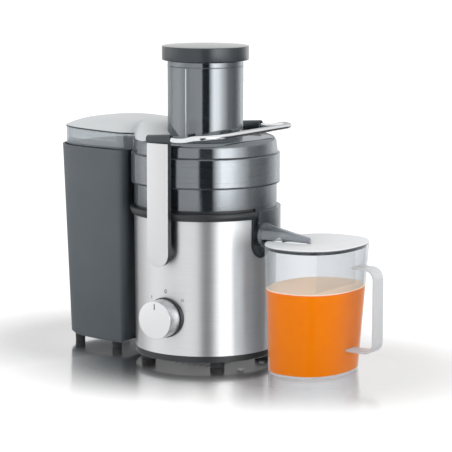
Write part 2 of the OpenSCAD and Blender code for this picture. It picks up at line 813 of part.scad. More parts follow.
module basket_rim() {
    color([0.2, 0.21, 0.23]) ring(sieve_top_r + 2.5, sieve_top_r - 2, sieve_z1, sieve_z1 + rim_h);
}

// ---- bowl ----------------------------------------------------------------

// Clear bowl with its neck and the hole for its outlet.
module juice_bowl() {
    color([0.45, 0.48, 0.52, 0.6]) difference() {
        rotate_extrude() polygon([
            [bowl_neck_r, bowl_bottom_z], [bowl_low_r, bowl_bottom_z], [bowl_low_r, bowl_step_z],
            [bowl_r, bowl_step_z], [bowl_r, bowl_z1], [bowl_r - clear_wall, bowl_z1],
            [bowl_r - clear_wall, bowl_step_z + clear_wall],
            [bowl_low_r - clear_wall, bowl_step_z + clear_wall], [bowl_low_r - clear_wall, bowl_floor_z],
            [bowl_neck_r + 2, bowl_floor_z], [bowl_neck_r + 2, bowl_neck_z1], [bowl_neck_r, bowl_neck_z1]
        ]);
        outlet_rod(outlet_bore_r, outlet_bore_r, bowl_low_r - 6, bowl_low_r + over, outlet_z);
    }
}

// Outlet tube welded to the bowl, with the panel that fills the notch and the apron over it.
module bowl_outlet() {
    panel_half = notch_half - frame_w - rest_gap;
    color([0.45, 0.48, 0.52, 0.6]) difference() {
        union() {
            outlet_rod(outlet_r, outlet_r, bowl_low_r - 3, collar_x1 - 1 - rest_gap, outlet_z);
            intersection() {
                notch_bar(panel_half, shell_z1 - rest_gap, base_r - 8, base_r + 8);
                difference() {
                    shell_solid(0);
                    shell_solid(-2.4, over);
                }
            }
            rotate([0, 0, apron_from]) rotate_extrude(angle = apron_to - apron_from) polygon([
                [deck_r - 2.9, outlet_z - 9], [deck_r - 0.3, outlet_z - 9], [deck_r - 0.3, deck_z1],
                [bowl_r - 0.3, deck_z1], [bowl_r - 0.3, bowl_step_z], [bowl_r - 1.3, bowl_step_z],
                [bowl_r - 1.3, deck_z1 - 2.5], [deck_r - 2.9, deck_z1 - 2.5]
            ]);
        }
        translate([0, 0, bowl_bottom_z - over]) cylinder(r = bowl_low_r, h = bowl_step_z - bowl_bottom_z);
        outlet_rod(outlet_bore_r, outlet_bore_r, bowl_low_r - 6, deck_r + 12, outlet_z);
    }
}

// ---- lid -----------------------------------------------------------------

// Outline of the bin cover in the bin's own frame, drawn in by an inset.
function cover_outline(inset) = concat(
    [
        for (i = [0 : 24])
            oval_point(cover_reach - bin_mid_x - inset, cover_half - inset, bin_round, 90 + 180 * i / 24)
                - [bin_mid_x, 0]
    ],
    [[-cover_near_x - inset, -cover_half + inset + 3], [-cover_near_x - inset, cover_half - inset - 3]]
);

// A flat outline raised up to the domed roof of the cover.
module under_roof(inset, z0) {
    roof_r = (cover_half * cover_half + cover_crown * cover_crown) / (2 * cover_crown);
    intersection() {
        translate([0, 0, z0]) linear_extrude(height = roof_z + over - z0) children();
        translate([-roof_peak_x, 0, roof_z - roof_sweep_r]) rotate([90, 0, 0])
            rotate_extrude() translate([roof_sweep_r - roof_r, 0]) circle(r = roof_r - inset);
    }
}

module neck_shape(inset) {
    translate([-cover_near_x - 4, -neck_half + inset]) square([cover_near_x - 42, 2 * (neck_half - inset)]);
}

// Lid with its feed tube and the cover over the pulp bin, moulded in one.
module lid() {
    mid_r = tier_r - lid_edge_r;
    mid_z = lid_z1 - lid_edge_r;
    in_r = lid_edge_r - clear_wall;
    skirt_in = skirt_r - 2.4;
    edge_out = [for (a = [0 : 15 : 90]) [mid_r + lid_edge_r * cos(a), mid_z + lid_edge_r * sin(a)]];
    edge_in = [for (a = [90 : -15 : 0]) [mid_r + in_r * cos(a), mid_z + in_r * sin(a)]];
    color([0.5, 0.53, 0.57, 0.6]) difference() {
        union() {
            rotate_extrude() polygon(concat(
                [
                    [skirt_in, lid_z0], [skirt_r, lid_z0], [skirt_r, lid_seam_z],
                    [tier_r + 2, lid_seam_z + 1.2]
                ],
                edge_out,
                [
                    [feed_r + 2, lid_z1], [feed_r, lid_z1 + 2], [feed_r, tube_z1], [feed_bore_r, tube_z1],
                    [feed_bore_r, tube_z0], [feed_r, tube_z0], [feed_r, lid_z1 - clear_wall]
                ],
                edge_in,
                [
                    [tier_r + 2 - clear_wall, lid_seam_z + 0.6], [skirt_in, lid_seam_z - 2],
                    [skirt_in, bowl_z1 + 2.5], [bowl_r - clear_wall, bowl_z1 + 2.5],
                    [bowl_r - clear_wall, bowl_z1], [skirt_in, bowl_z1]
                ]
            ));
            difference() {
                rotate([0, 0, bin_turn]) {
                    under_roof(0, cover_z0) polygon(cover_outline(0));
                    under_roof(0, cover_z0) neck_shape(0);
                }
                translate([0, 0, lid_z0]) cylinder(r = tier_r - clear_wall, h = lid_z1 - clear_wall - lid_z0);
                translate([0, 0, lid_z0]) cylinder(r = feed_r - 1, h = tube_z1 - lid_z0);
            }
        }
        rotate([0, 0, bin_turn]) {
            under_roof(clear_wall, cover_z0 - over) polygon(cover_outline(clear_wall));
            translate([-cover_near_x - clear_wall - 2, -neck_half + clear_wall + 2, cover_z0 + clear_wall])
                cube([
                    cover_near_x - feed_r - 18, 2 * (neck_half - clear_wall - 2),
                    lid_z1 - clear_wall - 1 - cover_z0 - clear_wall
                ]);
        }
    }
}

// ---- bail ----------------------------------------------------------------

module mirrored() {
    mirror([0, 1, 0]) children();
}

// Outline of an arm, seen from the front: round foot at the pivot, square top.
module arm_shape(half) {
    translate([0, pivot_z]) circle(r = half);
    translate([-half, pivot_z]) square([2 * half, arm_z1 - pivot_z]);
}

module arm_plate() {
    color([0.8, 0.8, 0.81]) front_plate(arm_in_y + arm_core_t, arm_out_y) arm_shape(arm_w / 2);
}

// Plastic core behind the plate, cut to the round of the grip above it.
module arm_core() {
    color([0.22, 0.23, 0.25]) difference() {
        front_plate(arm_in_y, arm_in_y + arm_core_t) arm_shape(arm_w / 2 - 0.4);
        bail_frame() translate([grip_x0 - over, 0, 0]) rotate([0, 90, 0])
            cylinder(r = grip_r, h = grip_len + 2 * over);
        front_rod(pivot_r, arm_in_y - over, arm_in_y + arm_core_t - 1.5, pivot_z);
    }
}

// Frame that lies along one side of the wire: its X axis is the wire's own line.
module bail_frame() {
    translate([0, -wire_y, wire_z]) rotate([0, -wire_tilt, 0]) children();
}

module grip() {
    color([0.2, 0.21, 0.23]) bail_frame() translate([grip_x0, 0, 0]) rotate([0, 90, 0]) difference() {
        cylinder(r = grip_r, h = grip_len);
        translate([0, 0, 6]) cylinder(r = wire_d / 2, h = grip_len);
    }
}

module front_arm_plate() { arm_plate(); }

module rear_arm_plate() { mirrored() arm_plate(); }

module front_arm_core() { arm_core(); }

module rear_arm_core() { mirrored() arm_core(); }

module front_grip() { grip(); }

module rear_grip() { mirrored() grip(); }

// Chrome wire: two side runs, two bends and the straight run across the lid.
module bail_wire() {
    r = wire_d / 2;
    reach = wire_reach / cos(wire_tilt);
    side_x0 = grip_x0 + 6;
    bend_y = wire_y - wire_bend_r;
    color([0.85, 0.85, 0.87]) translate([0, 0, wire_z]) rotate([0, -wire_tilt, 0]) union() {
        for (side = [-1, 1]) {
            translate([side_x0, side * wire_y, 0]) rotate([0, 90, 0])
                cylinder(r = r, h = reach - wire_bend_r - side_x0);
            translate([reach - wire_bend_r, side * bend_y, 0]) rotate([0, 0, side < 0 ? -90 : 0])
                rotate_extrude(angle = 90) translate([wire_bend_r, 0]) circle(r = r);
        }
        translate([reach, bend_y, 0]) rotate([90, 0, 0]) cylinder(r = r, h = 2 * bend_y);
    }
}

// Flanged bushes that carry the arms' pivots through the shell.
module pivot_bushes() {
    color([0.15, 0.16, 0.17]) for (side = [0, 1]) mirror([0, side, 0]) difference() {
        union() {
            front_rod(bush_r, bush_in_y, arm_in_y - rest_gap, pivot_z);
            difference() {
                front_rod(bush_flange_r, base_r - 4, arm_in_y - rest_gap, pivot_z);
                shell_solid();
            }
        }
        front_rod(pivot_r + run_gap, bush_in_y - over, arm_in_y + over, pivot_z);
    }
}

module pivot_pins() {
    color("silver") for (side = [0, 1]) mirror([0, side, 0])
        front_rod(pivot_r, bush_in_y - 2, arm_in_y + arm_core_t - 1.5, pivot_z);
}

module pivot_clips() {
    color("silver") for (side = [0, 1]) mirror([0, side, 0]) difference() {
        front_rod(6.5, bush_in_y - 1.2, bush_in_y - rest_gap, pivot_z);
        front_rod(pivot_r, bush_in_y - 3, bush_in_y + over, pivot_z);
    }
}

// ---- knob ----------------------------------------------------------------

module knob_cap() {
    color([0.72, 0.73, 0.75]) translate([0, 0, knob_z]) rotate([90, 0, 0]) difference() {
        rotate_extrude() polygon([
            [0, knob_back_y + 3], [knob_r - 3, knob_back_y + 3], [knob_r - 3, knob_back_y],
            [knob_r, knob_back_y], [knob_r, knob_face_y - 2], [knob_r - 0.7, knob_face_y - 0.6],
            [knob_r - 2, knob_face_y], [0, knob_face_y]
        ]);
        translate([0, 0, knob_back_y - over]) cylinder(r = 7, h = knob_len - 1);
        translate([-0.7, knob_r - 11, knob_face_y - 0.6]) cube([1.4, 9, 2]);
    }
}

module knob_hub() {
    color([0.15, 0.16, 0.17]) difference() {
        front_rod(7, knob_back_y, knob_face_y - 2, knob_z);
        front_rod(switch_shaft_r, knob_back_y - over, knob_back_y + 12, knob_z);
    }
}

module switch_shaft() {
    color("silver") front_rod(switch_shaft_r, switch_front_y - 18, knob_back_y + 12, knob_z);
}

// ---- pusher --------------------------------------------------------------

module pusher_body() {
    color([0.5, 0.53, 0.57, 0.6]) difference() {
        translate([0, 0, pusher_z0]) cylinder(r = pusher_r, h = cap_z0 - pusher_z0);
        translate([0, 0, pusher_z0 + 3]) cylinder(r = pusher_r - pusher_wall, h = cap_z0 - pusher_z0);
    }
}

module pusher_cap() {
    dome_r = (cap_r * cap_r + cap_dome * cap_dome) / (2 * cap_dome);
    color([0.22, 0.23, 0.25]) difference() {
        intersection() {
            translate([0, 0, cap_z0]) rotate_extrude() polygon([
                [0, 0], [cap_r - 1, 0], [cap_r, 1], [cap_r, cap_h - 0.5], [cap_r - 0.8, cap_h + cap_dome],
                [0, cap_h + cap_dome]
            ]);
            translate([0, 0, cap_z1 + cap_dome - dome_r]) sphere(r = dome_r, $fn = 200);
        }
        translate([0, 0, cap_z0 - over]) cylinder(r = pusher_r - pusher_wall, h = over + 3);
    }
}

// ---- spout ---------------------------------------------------------------

// Radius of the nozzle's cone at a distance from the motor axis.
function beak_r(x) = beak_root_r + (tip_r - beak_root_r) * (x - collar_x1) / (nozzle_reach - collar_x1);

// Cone of the nozzle between two distances, thinner by an inset.
module beak(inset, x0, x1) {
    rotate([0, 0, spout_turn]) translate([collar_x0, 0, outlet_z]) rotate([0, 90 + beak_tilt, 0])
        translate([0, 0, x0 - collar_x0])
            cylinder(r1 = beak_r(x0) - inset, r2 = beak_r(x1) - inset, h = x1 - x0);
}

// Tapered nozzle with a round collar and an open underside over the jug.
module spout_nozzle() {
    bore = outlet_r + rest_gap;
    color([0.5, 0.53, 0.57, 0.6]) difference() {
        union() {
            outlet_rod(collar_r, collar_r, collar_x0, collar_x1, outlet_z);
            beak(0, collar_x1 - 1, nozzle_reach);
        }
        outlet_rod(bore, bore, collar_x0 - over, collar_x1 - 1, outlet_z);
        beak(nozzle_wall, collar_x1 - 2, nozzle_reach - nozzle_wall);
        rotate([0, 0, spout_turn]) translate([collar_x1, -2 * collar_r, nozzle_floor_z - 2 * collar_r])
            cube([nozzle_len + 10, 4 * collar_r, 2 * collar_r]);
    }
}

// ---- jug -----------------------------------------------------------------

// Ring of points round the jug at a height, drawn in by an inset.
function jug_ring(z, inset) =
    let (
        t = z / jug_top_z,
        a = jug_base_a + (jug_rim_a - jug_base_a) * t - inset,
        b = jug_base_b + (jug_rim_b - jug_base_b) * t - inset,
        x = jug_x + jug_shift * (1 - t)
    )
    [
        for (i = [0 : jug_steps - 1])
            let (p = oval_point(a, b, jug_round, 360 * i / jug_steps))
                [x + p.x, p.y, z]
    ];

// Distance from the motor axis to the jug's wall on the handle's side.
function jug_side_x(z) = jug_x + jug_rim_a - (jug_rim_a - jug_base_a - jug_shift) * (1 - z / jug_top_z);

module jug_body() {
    color([0.85, 0.88, 0.9, 0.35]) loft([
        jug_ring(0, 2), jug_ring(2, 0), jug_ring(jug_top_z, 0), jug_ring(jug_top_z, jug_wall),
        jug_ring(jug_floor_t + 1, jug_wall), jug_ring(jug_floor_t, jug_wall + 1)
    ]);
}

// Side view of the space that the handle's strap bounds, drawn in by an inset.
module strap_area(inset) {
    run_x = handle_x1 - handle_r;
    translate([jug_x, handle_low_z + inset]) square([run_x - jug_x, handle_top_z - handle_low_z - 2 * inset]);
    translate([jug_x, handle_low_z + handle_r])
        square([handle_x1 - inset - jug_x, handle_top_z - handle_low_z - 2 * handle_r]);
    for (z = [handle_low_z + handle_r, handle_top_z - handle_r])
        translate([run_x, z]) circle(r = handle_r - inset);
}

module jug_handle() {
    color([0.75, 0.76, 0.78]) translate([0, handle_w / 2, 0]) rotate([90, 0, 0])
        linear_extrude(height = handle_w) difference() {
            strap_area(0);
            strap_area(handle_t);
            polygon([
                [jug_x - over, -over], [jug_side_x(-over), -over], [jug_side_x(jug_top_z), jug_top_z],
                [jug_x - over, jug_top_z]
            ]);
        }
}

// Flat lid with a notch for the nozzle and a rim that locates it in the jug.
module jug_lid() {
    plate = [for (p = jug_ring(jug_top_z, 0.2)) [p.x, p.y]];
    rim_out = [for (p = jug_ring(jug_top_z, jug_wall + lid_inset)) [p.x, p.y]];
    rim_in = [for (p = jug_ring(jug_top_z, jug_wall + lid_inset + 1.6)) [p.x, p.y]];
    color([0.88, 0.89, 0.9, 0.85]) difference() {
        union() {
            translate([0, 0, jug_top_z]) linear_extrude(height = jug_lid_t) polygon(plate);
            translate([0, 0, jug_top_z - 4]) linear_extrude(height = 4 + jug_lid_t / 2) difference() {
                polygon(rim_out);
                polygon(rim_in);
            }
        }
        translate([0, 0, jug_top_z - 4 - over]) linear_extrude(height = jug_lid_t + 4 + 2 * over)
            rotate([0, 0, spout_turn]) polygon([
                [collar_x0, -collar_r - 4], [nozzle_reach - 6, -tip_r - 3.5], [nozzle_reach + 1, -tip_r - 2],
                [nozzle_reach + 3, 0], [nozzle_reach + 1, tip_r + 2], [nozzle_reach - 6, tip_r + 3.5],
                [collar_x0, collar_r + 4]
            ]);
    }
}

module foam_separator() {
    color([0.85, 0.88, 0.9, 0.35]) translate([separator_x, -separator_half, jug_top_z - separator_h])
        cube([1.6, 2 * separator_half, separator_h]);
}

// ---- pulp bin ------------------------------------------------------------

// Ring of points round the bin in its own frame: oval far side, round corners, hollow near side.
function bin_ring(z, draft, inset) =
    let (
        half = bin_half - draft - inset,
        wrap = bin_wrap_r + draft * 0.35 + inset,
        near = -bin_near_x - draft * 0.2,
        a0 = bin_wrap_deg - draft * 0.9 - inset * 0.6,
        foot = [-wrap * cos(a0), -wrap * sin(a0)],
        head = [-wrap * cos(a0), wrap * sin(a0)],
        far = [
            for (i = [0 : 28])
                oval_point(bin_reach - bin_mid_x - draft * 0.35 - inset, half, bin_round, 90 + 180 * i / 28)
                    - [bin_mid_x, 0]
        ],
        low = [for (i = [0 : 6]) bend_point([near, -half + 2], [foot.x + 3, -half + 3], foot, i / 6)],
        wrap_arc = [for (i = [1 : 11]) let (a = a0 * (1 - i / 6)) [-wrap * cos(a), -wrap * sin(a)]],
        high = [for (i = [0 : 6]) bend_point(head, [head.x + 3, half - 3], [near, half - 2], i / 6)]
    )
    [for (p = concat(far, low, wrap_arc, high)) [p.x, p.y, z]];

module pulp_bin() {
    color([0.3, 0.32, 0.35]) rotate([0, 0, bin_turn]) loft([
        bin_ring(bin_z0, bin_draft, 3), bin_ring(bin_z0 + 3, bin_draft, 0), bin_ring(bin_z1, 0, 0),
        bin_ring(bin_z1, 0, bin_wall), bin_ring(bin_z0 + bin_wall + 1, bin_draft, bin_wall)
    ]);
}

module bin_feet() {
    color([0.1, 0.1, 0.1]) rotate([0, 0, bin_turn])
        for (x = [-bin_mid_x - 48, -bin_mid_x + 20], y = [-40, 40])
            translate([x, y, 0]) cylinder(r1 = 6, r2 = 6.5, h = bin_z0);
}

base_tray();
rubber_feet();
tray_screws();
steel_shell();
top_deck();
outlet_frame();
knob_bezel();
rotary_switch();
interlock_switch();
terminal_block();
cord_gland();
wiring_leads();
motor_dampers();
motor_screws();
upper_motor_bracket();
lower_motor_bracket();
motor_bolts();
stator_core();
field_coils();
brush_holders();
carbon_brushes();
upper_bearing();
lower_bearing();
shaft_seal();
pivot_bushes();
juice_bowl();
bowl_outlet();
lid();
motor_shaft();
armature();
commutator();
cooling_fan();
drive_coupling();
basket_hub();
grater_disc();
sieve_cone();
basket_rim();
knob_cap();
knob_hub();
switch_shaft();
front_arm_plate();
rear_arm_plate();
front_arm_core();
rear_arm_core();
front_grip();
rear_grip();
bail_wire();
pivot_pins();
pivot_clips();
pusher_body();
pusher_cap();
spout_nozzle();
jug_body();
jug_handle();
jug_lid();
foam_separator();
pulp_bin();
bin_feet();
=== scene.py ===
"""Looks of the centrifugal juicer: finishes, shaped shells, juice, stage and camera.

Lengths are millimetres unless a comment says otherwise, and MM turns them into Blender's metres.
"""
import math
import bpy
from mathutils import Matrix, Vector


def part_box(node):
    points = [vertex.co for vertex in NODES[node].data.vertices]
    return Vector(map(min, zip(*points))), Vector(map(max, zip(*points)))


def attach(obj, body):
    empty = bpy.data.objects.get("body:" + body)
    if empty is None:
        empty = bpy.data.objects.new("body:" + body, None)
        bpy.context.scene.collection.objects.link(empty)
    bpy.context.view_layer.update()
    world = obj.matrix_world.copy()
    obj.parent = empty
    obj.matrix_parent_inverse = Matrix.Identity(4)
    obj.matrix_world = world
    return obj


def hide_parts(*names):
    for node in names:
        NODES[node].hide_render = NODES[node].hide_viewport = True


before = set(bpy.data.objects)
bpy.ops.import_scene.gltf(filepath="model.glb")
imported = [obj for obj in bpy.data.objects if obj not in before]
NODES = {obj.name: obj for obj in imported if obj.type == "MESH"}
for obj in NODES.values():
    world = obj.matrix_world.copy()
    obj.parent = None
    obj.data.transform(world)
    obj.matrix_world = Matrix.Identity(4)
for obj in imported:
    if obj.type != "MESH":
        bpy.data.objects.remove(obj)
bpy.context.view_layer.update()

MM = 0.001


# ---- modelling helpers --------------------------------------------------

# How near doubles lie that merge, in a new piece and in a CAD node, and the angle in degrees up to which
# a CAD node's facets count as one flat face.
WELD_DISTANCE = 0.001
CAD_WELD_DISTANCE = 0.01
FLAT_ANGLE = 0.3


def deselect():
    """Leave edit mode and select nothing, because an operator acts on all that is selected."""
    if bpy.context.object and bpy.context.object.mode != "OBJECT":
        bpy.ops.object.mode_set(mode="OBJECT")
    bpy.ops.object.select_all(action="DESELECT")


def pick(piece):
    """Make a piece the only one that is selected."""
    deselect()
    bpy.context.view_layer.objects.active = piece
    piece.select_set(True)


def edit(piece, elements="VERT", action="SELECT"):
    """Open a piece in edit mode, with all its elements of one kind selected or none."""
    pick(piece)
    bpy.ops.object.mode_set(mode="EDIT")
    bpy.ops.mesh.select_mode(type=elements)
    bpy.ops.mesh.select_all(action=action)


def placed(piece):
    """Put an object at the origin, with its place and its turn in its mesh."""
    pick(piece)
    bpy.ops.object.transform_apply(location=True, rotation=True, scale=True)
    return piece


def modified(piece, kind, **settings):
    """Add a modifier with its settings to a piece and apply it."""
    pick(piece)
    modifier = piece.modifiers.new(kind.lower(), kind)
    for key, value in settings.items():
        setattr(modifier, key, value)
    bpy.ops.object.modifier_apply(modifier=modifier.name)
    return piece


def box_mm(node):
    """Lowest and highest corner of a CAD node in millimetres."""
    low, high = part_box(node)
    return low / MM, high / MM


def arc(centre_r, centre_z, radius, start, end, steps=6):
    """Points of a rounding in a turned profile, angles in degrees from outwards."""
    turns = [math.radians(start + (end - start) * i / steps) for i in range(steps + 1)]
    return [(centre_r + radius * math.cos(t), centre_z + radius * math.sin(t)) for t in turns]


def turned(name, profile, sides=144):
    """Turn a profile of (radius, height) points in millimetres round Z, ring by ring; radius 0 is a pole."""
    deselect()
    pole = profile[0][0] == 0
    rings = profile[1:] if pole else profile
    radius, height = rings[0]
    bpy.ops.mesh.primitive_circle_add(
        vertices=sides,
        radius=radius * MM,
        location=(0, 0, height * MM),
        fill_type="TRIFAN" if pole else "NOTHING",
    )
    piece = bpy.context.object
    piece.name = piece.data.name = name
    bpy.ops.object.mode_set(mode="EDIT")
    if pole:
        bpy.ops.mesh.select_mode(type="EDGE")
        bpy.ops.mesh.select_all(action="DESELECT")
        bpy.ops.mesh.select_non_manifold()
    for new_radius, new_height in rings[1:]:
        rise = (new_height - height) * MM
        bpy.ops.mesh.extrude_region_move(TRANSFORM_OT_translate={"value": (0, 0, rise)})
        if new_radius == 0:
            bpy.ops.mesh.merge(type="CENTER")
        else:
            scale = new_radius / radius
            bpy.ops.transform.resize(value=(scale, scale, 1), center_override=(0, 0, new_height * MM))
        radius, height = new_radius, new_height
    return weld(piece)


def weld(piece):
    """Merge doubles, point the faces outwards and put the object at the origin."""
    edit(piece)
    bpy.ops.mesh.remove_doubles(threshold=WELD_DISTANCE * MM)
    bpy.ops.mesh.normals_make_consistent(inside=False)
    return placed(piece)


def smooth(piece, angle=35):
    """Shade a piece smooth, but for edges sharper than an angle."""
    pick(piece)
    bpy.ops.object.shade_smooth_by_angle(angle=math.radians(angle))
    return piece


def rounded(piece, width, angle=30, segments=3):
    """Round the sharp edges of a finished shape and shade it smooth."""
    modified(
        piece,
        "BEVEL",
        width=width * MM,
        segments=segments,
        limit_method="ANGLE",
        angle_limit=math.radians(angle),
    )
    return smooth(piece)


def refined(node, name, edge=0.0):
    """Copy a CAD node, weld its loose triangles and round its edges."""
    piece = bpy.data.objects.new(name, NODES[node].data.copy())
    bpy.context.scene.collection.objects.link(piece)
    pick(piece)
    bpy.ops.mesh.customdata_custom_splitnormals_clear()
    edit(piece)
    bpy.ops.mesh.remove_doubles(threshold=CAD_WELD_DISTANCE * MM)
    bpy.ops.mesh.dissolve_limited(angle_limit=math.radians(FLAT_ANGLE))
    bpy.ops.object.mode_set(mode="OBJECT")
    return rounded(piece, edge) if edge else smooth(piece)


def traced(name, points, radius=0.0):
    """Mesh along a path of points in millimetres: a bar of a radius, or the bare line."""
    curve = bpy.data.curves.new(name, "CURVE")
    curve.dimensions = "3D"
    curve.bevel_depth = radius * MM
    curve.bevel_resolution = 8
    curve.use_fill_caps = True
    spline = curve.splines.new("POLY")
    spline.points.add(len(points) - 1)
    for point, place in zip(spline.points, points):
        point.co = (*(c * MM for c in place), 1)
    path = bpy.data.objects.new(name, curve)
    bpy.context.scene.collection.objects.link(path)
    pick(path)
    bpy.ops.object.convert(target="MESH")
    return bpy.context.object


def swept(name, points, radius):
    """Round bar along a path of points in millimetres."""
    return smooth(weld(traced(name, points, radius)), 60)


def slab(name, size, centre, edge):
    """Box of a size and place in millimetres with rounded edges."""
    deselect()
    bpy.ops.mesh.primitive_cube_add(size=1, location=[c * MM for c in centre])
    piece = bpy.context.object
    piece.name = piece.data.name = name
    piece.scale = [s * MM for s in size]
    return rounded(placed(piece), edge, 30, 2)


def finish(piece, material, body, slot, *nodes):
    """Give a piece its material and body, and say which CAD nodes it stands for. The slot argument is not
    used.
    """
    piece.data.materials.clear()
    piece.data.materials.append(material)
    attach(piece, body)
    if nodes:
        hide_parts(*nodes)
    return piece


def refinish(piece, material, chosen):
    """Give the faces that a test picks a second material."""
    piece.data.materials.append(material)
    for face in piece.data.polygons:
        face.material_index = 1 if chosen(face) else 0
    return piece


# ---- materials ----------------------------------------------------------

# Nearly all of a noise pattern lies between these two values.
NOISE_LOW, NOISE_HIGH = 0.3, 0.7
# Broad clouds of colour in a moulding, specks of pulp, and the lines that the belt leaves in the shell.
CLOUD_SIZE = 35
PULP_SIZE = 1.2
BRUSH_SIZE, BRUSH_LENGTH = 0.35, 120
ROUGHNESS_SPREAD = 0.05
# How much a clear wall mirrors where it is seen edge on.
RIM_GLOSS = 0.35


def linear(code):
    """Linear colour of an sRGB hex code."""
    parts = [int(code[i : i + 2], 16) / 255 for i in (1, 3, 5)]
    curve = [c / 12.92 if c <= 0.04045 else ((c + 0.055) / 1.055) ** 2.4 for c in parts]
    return (*curve, 1)


def put(node, inputs):
    """Fill inputs of a shader node, by name or number, with values or other nodes' outputs."""
    for key, value in inputs.items():
        if isinstance(value, bpy.types.NodeSocket):
            node.id_data.links.new(value, node.inputs[key])
        else:
            node.inputs[key].default_value = value


def add(tree, kind, inputs=None, output=0, **settings):
    """Add a shader node with its settings and links, and give one of its outputs."""
    node = tree.nodes.new(kind)
    for key, value in settings.items():
        setattr(node, key, value)
    put(node, inputs or {})
    return node.outputs[output]


def new_material(name):
    """A new material, its nodes and its Principled shader."""
    material = bpy.data.materials.new(name)
    material.use_nodes = True
    return material, material.node_tree, material.node_tree.nodes["Principled BSDF"]


def grain(tree, size, detail=2.0, stretch=(1, 1, 1)):
    """Noise whose grains are size millimetres wide, drawn out along an axis by stretch."""
    place = add(tree, "ShaderNodeTexCoord", output="Object")
    drawn = add(tree, "ShaderNodeMapping", {"Vector": place, "Scale": [1 / s for s in stretch]})
    return add(tree, "ShaderNodeTexNoise", {"Vector": drawn, "Scale": 1000 / size, "Detail": detail})


def vary(tree, shader, shades, dark, light, marks, low, high):
    """Let one pattern vary the colour between two hex codes, and another the roughness."""
    tones = {"Factor": shades, "A": linear(dark), "B": linear(light)}
    sheen = {"Value": marks, "From Min": NOISE_LOW, "From Max": NOISE_HIGH, "To Min": low, "To Max": high}
    put(shader, {
        "Base Color": add(tree, "ShaderNodeMix", tones, "Result", data_type="RGBA"),
        "Roughness": add(tree, "ShaderNodeMapRange", sheen),
    })


def moulded_plastic(name, dark, light, roughness, grit=0.5, depth=0.02, coat=0.0, coat_roughness=0.03):
    """Injection moulded plastic: a fine spark-eroded texture breaks up its sheen.

    The texture's real grit is about 0.05 mm, and is drawn at half a millimetre or more to show.
    """
    material, tree, shader = new_material(name)
    clouds, spots = grain(tree, CLOUD_SIZE), grain(tree, grit)
    low, high = roughness - ROUGHNESS_SPREAD, roughness + ROUGHNESS_SPREAD
    vary(tree, shader, clouds, dark, light, spots, low, high)
    put(shader, {
        "Normal": add(tree, "ShaderNodeBump", {"Height": spots, "Distance": depth * MM, "Strength": 1.0}),
        "Coat Weight": coat,
        "Coat Roughness": coat_roughness,
    })
    return material


def metal(name, dark, light, roughness, size=0.6, stretch=(1, 1, 1)):
    """Bare metal whose tooling marks vary its colour and roughness."""
    material, tree, shader = new_material(name)
    marks = grain(tree, size, 3.0, stretch)
    low, high = roughness - ROUGHNESS_SPREAD, roughness + ROUGHNESS_SPREAD
    vary(tree, shader, marks, dark, light, marks, low, high)
    put(shader, {"Metallic": 1.0})
    return material


def brushed_shell_steel():
    """18/10 stainless sheet, belt brushed round the body: fine level lines, light drawn up and down.

    The real lines are about 0.1 mm apart, and are drawn coarser to show.
    """
    material, tree, shader = new_material("brushed_stainless_steel")
    lines = grain(tree, BRUSH_SIZE, 2.0, (BRUSH_LENGTH, BRUSH_LENGTH, 1))
    vary(tree, shader, lines, "#C4C6C8", "#DEDFE0", lines, 0.32, 0.4)
    put(shader, {
        "Metallic": 1.0,
        "Anisotropic": 0.75,
        "Anisotropic Rotation": 0.25,
        "Tangent": add(tree, "ShaderNodeTangent", direction_type="RADIAL", axis="Z"),
        "Normal": add(tree, "ShaderNodeBump", {"Height": lines, "Distance": 0.003 * MM, "Strength": 0.3}),
    })
    return material


def chrome_plate():
    """Bright chrome on drawn wire: a mirror whose colour is darkened, as painted shade, where it is seen edge
    on.
    """
    material, tree, shader = new_material("chrome_plated_wire")
    slant = add(tree, "ShaderNodeLayerWeight", {"Blend": 0.5}, "Facing")
    rim = add(tree, "ShaderNodeMapRange", {"Value": slant, "From Min": 0.45, "From Max": 0.85})
    # Painted shade: the colour turns dark grey where the wire is seen edge on.
    tones = {"Factor": rim, "A": linear("#E2E4E6"), "B": linear("#4A5055")}
    tone = add(tree, "ShaderNodeMix", tones, "Result", data_type="RGBA")
    put(shader, {"Metallic": 1.0, "Roughness": 0.06, "Base Color": tone})
    return material


def clear_plastic(name, body, through, face, rim, gloss):
    """Clear SAN polished in the mould: its own tone shows more edge on, under a gloss of the given strength.

    body and through are the tones of the plastic and of what is seen through it. face and rim say how much
    of the plastic's own tone shows where it is seen square on and edge on. The Principled shader gives that
    tone alone, so its IOR is lower than the plastic's, and the gloss on top follows the angle of view.
    """
    material, tree, shader = new_material(name)
    put(shader, {"Base Color": linear(body), "Roughness": 0.3, "IOR": 1.3})
    edge = add(tree, "ShaderNodeLayerWeight", {"Blend": 0.35}, "Facing")
    share = add(
        tree,
        "ShaderNodeMapRange",
        {"Value": edge, "From Min": 0.05, "From Max": 0.95, "To Min": face, "To Max": rim},
        interpolation_type="SMOOTHSTEP",
    )
    seen = add(tree, "ShaderNodeBsdfTransparent", {"Color": linear(through)})
    tinted = add(tree, "ShaderNodeMixShader", {"Fac": share, 1: seen, 2: shader.outputs["BSDF"]})
    slant = add(tree, "ShaderNodeLayerWeight", {"Blend": 0.5}, "Facing")
    steep = add(tree, "ShaderNodeMath", {0: slant, 1: 5.0}, operation="POWER")
    reflected = add(tree, "ShaderNodeMapRange", {"Value": steep, "To Min": gloss, "To Max": RIM_GLOSS})
    mirror = add(tree, "ShaderNodeBsdfGlossy", {"Color": linear("#EDF3F8"), "Roughness": 0.05})
    glossy = add(tree, "ShaderNodeMixShader", {"Fac": reflected, 1: tinted, 2: mirror})
    put(tree.nodes["Material Output"], {"Surface": glossy})
    return material


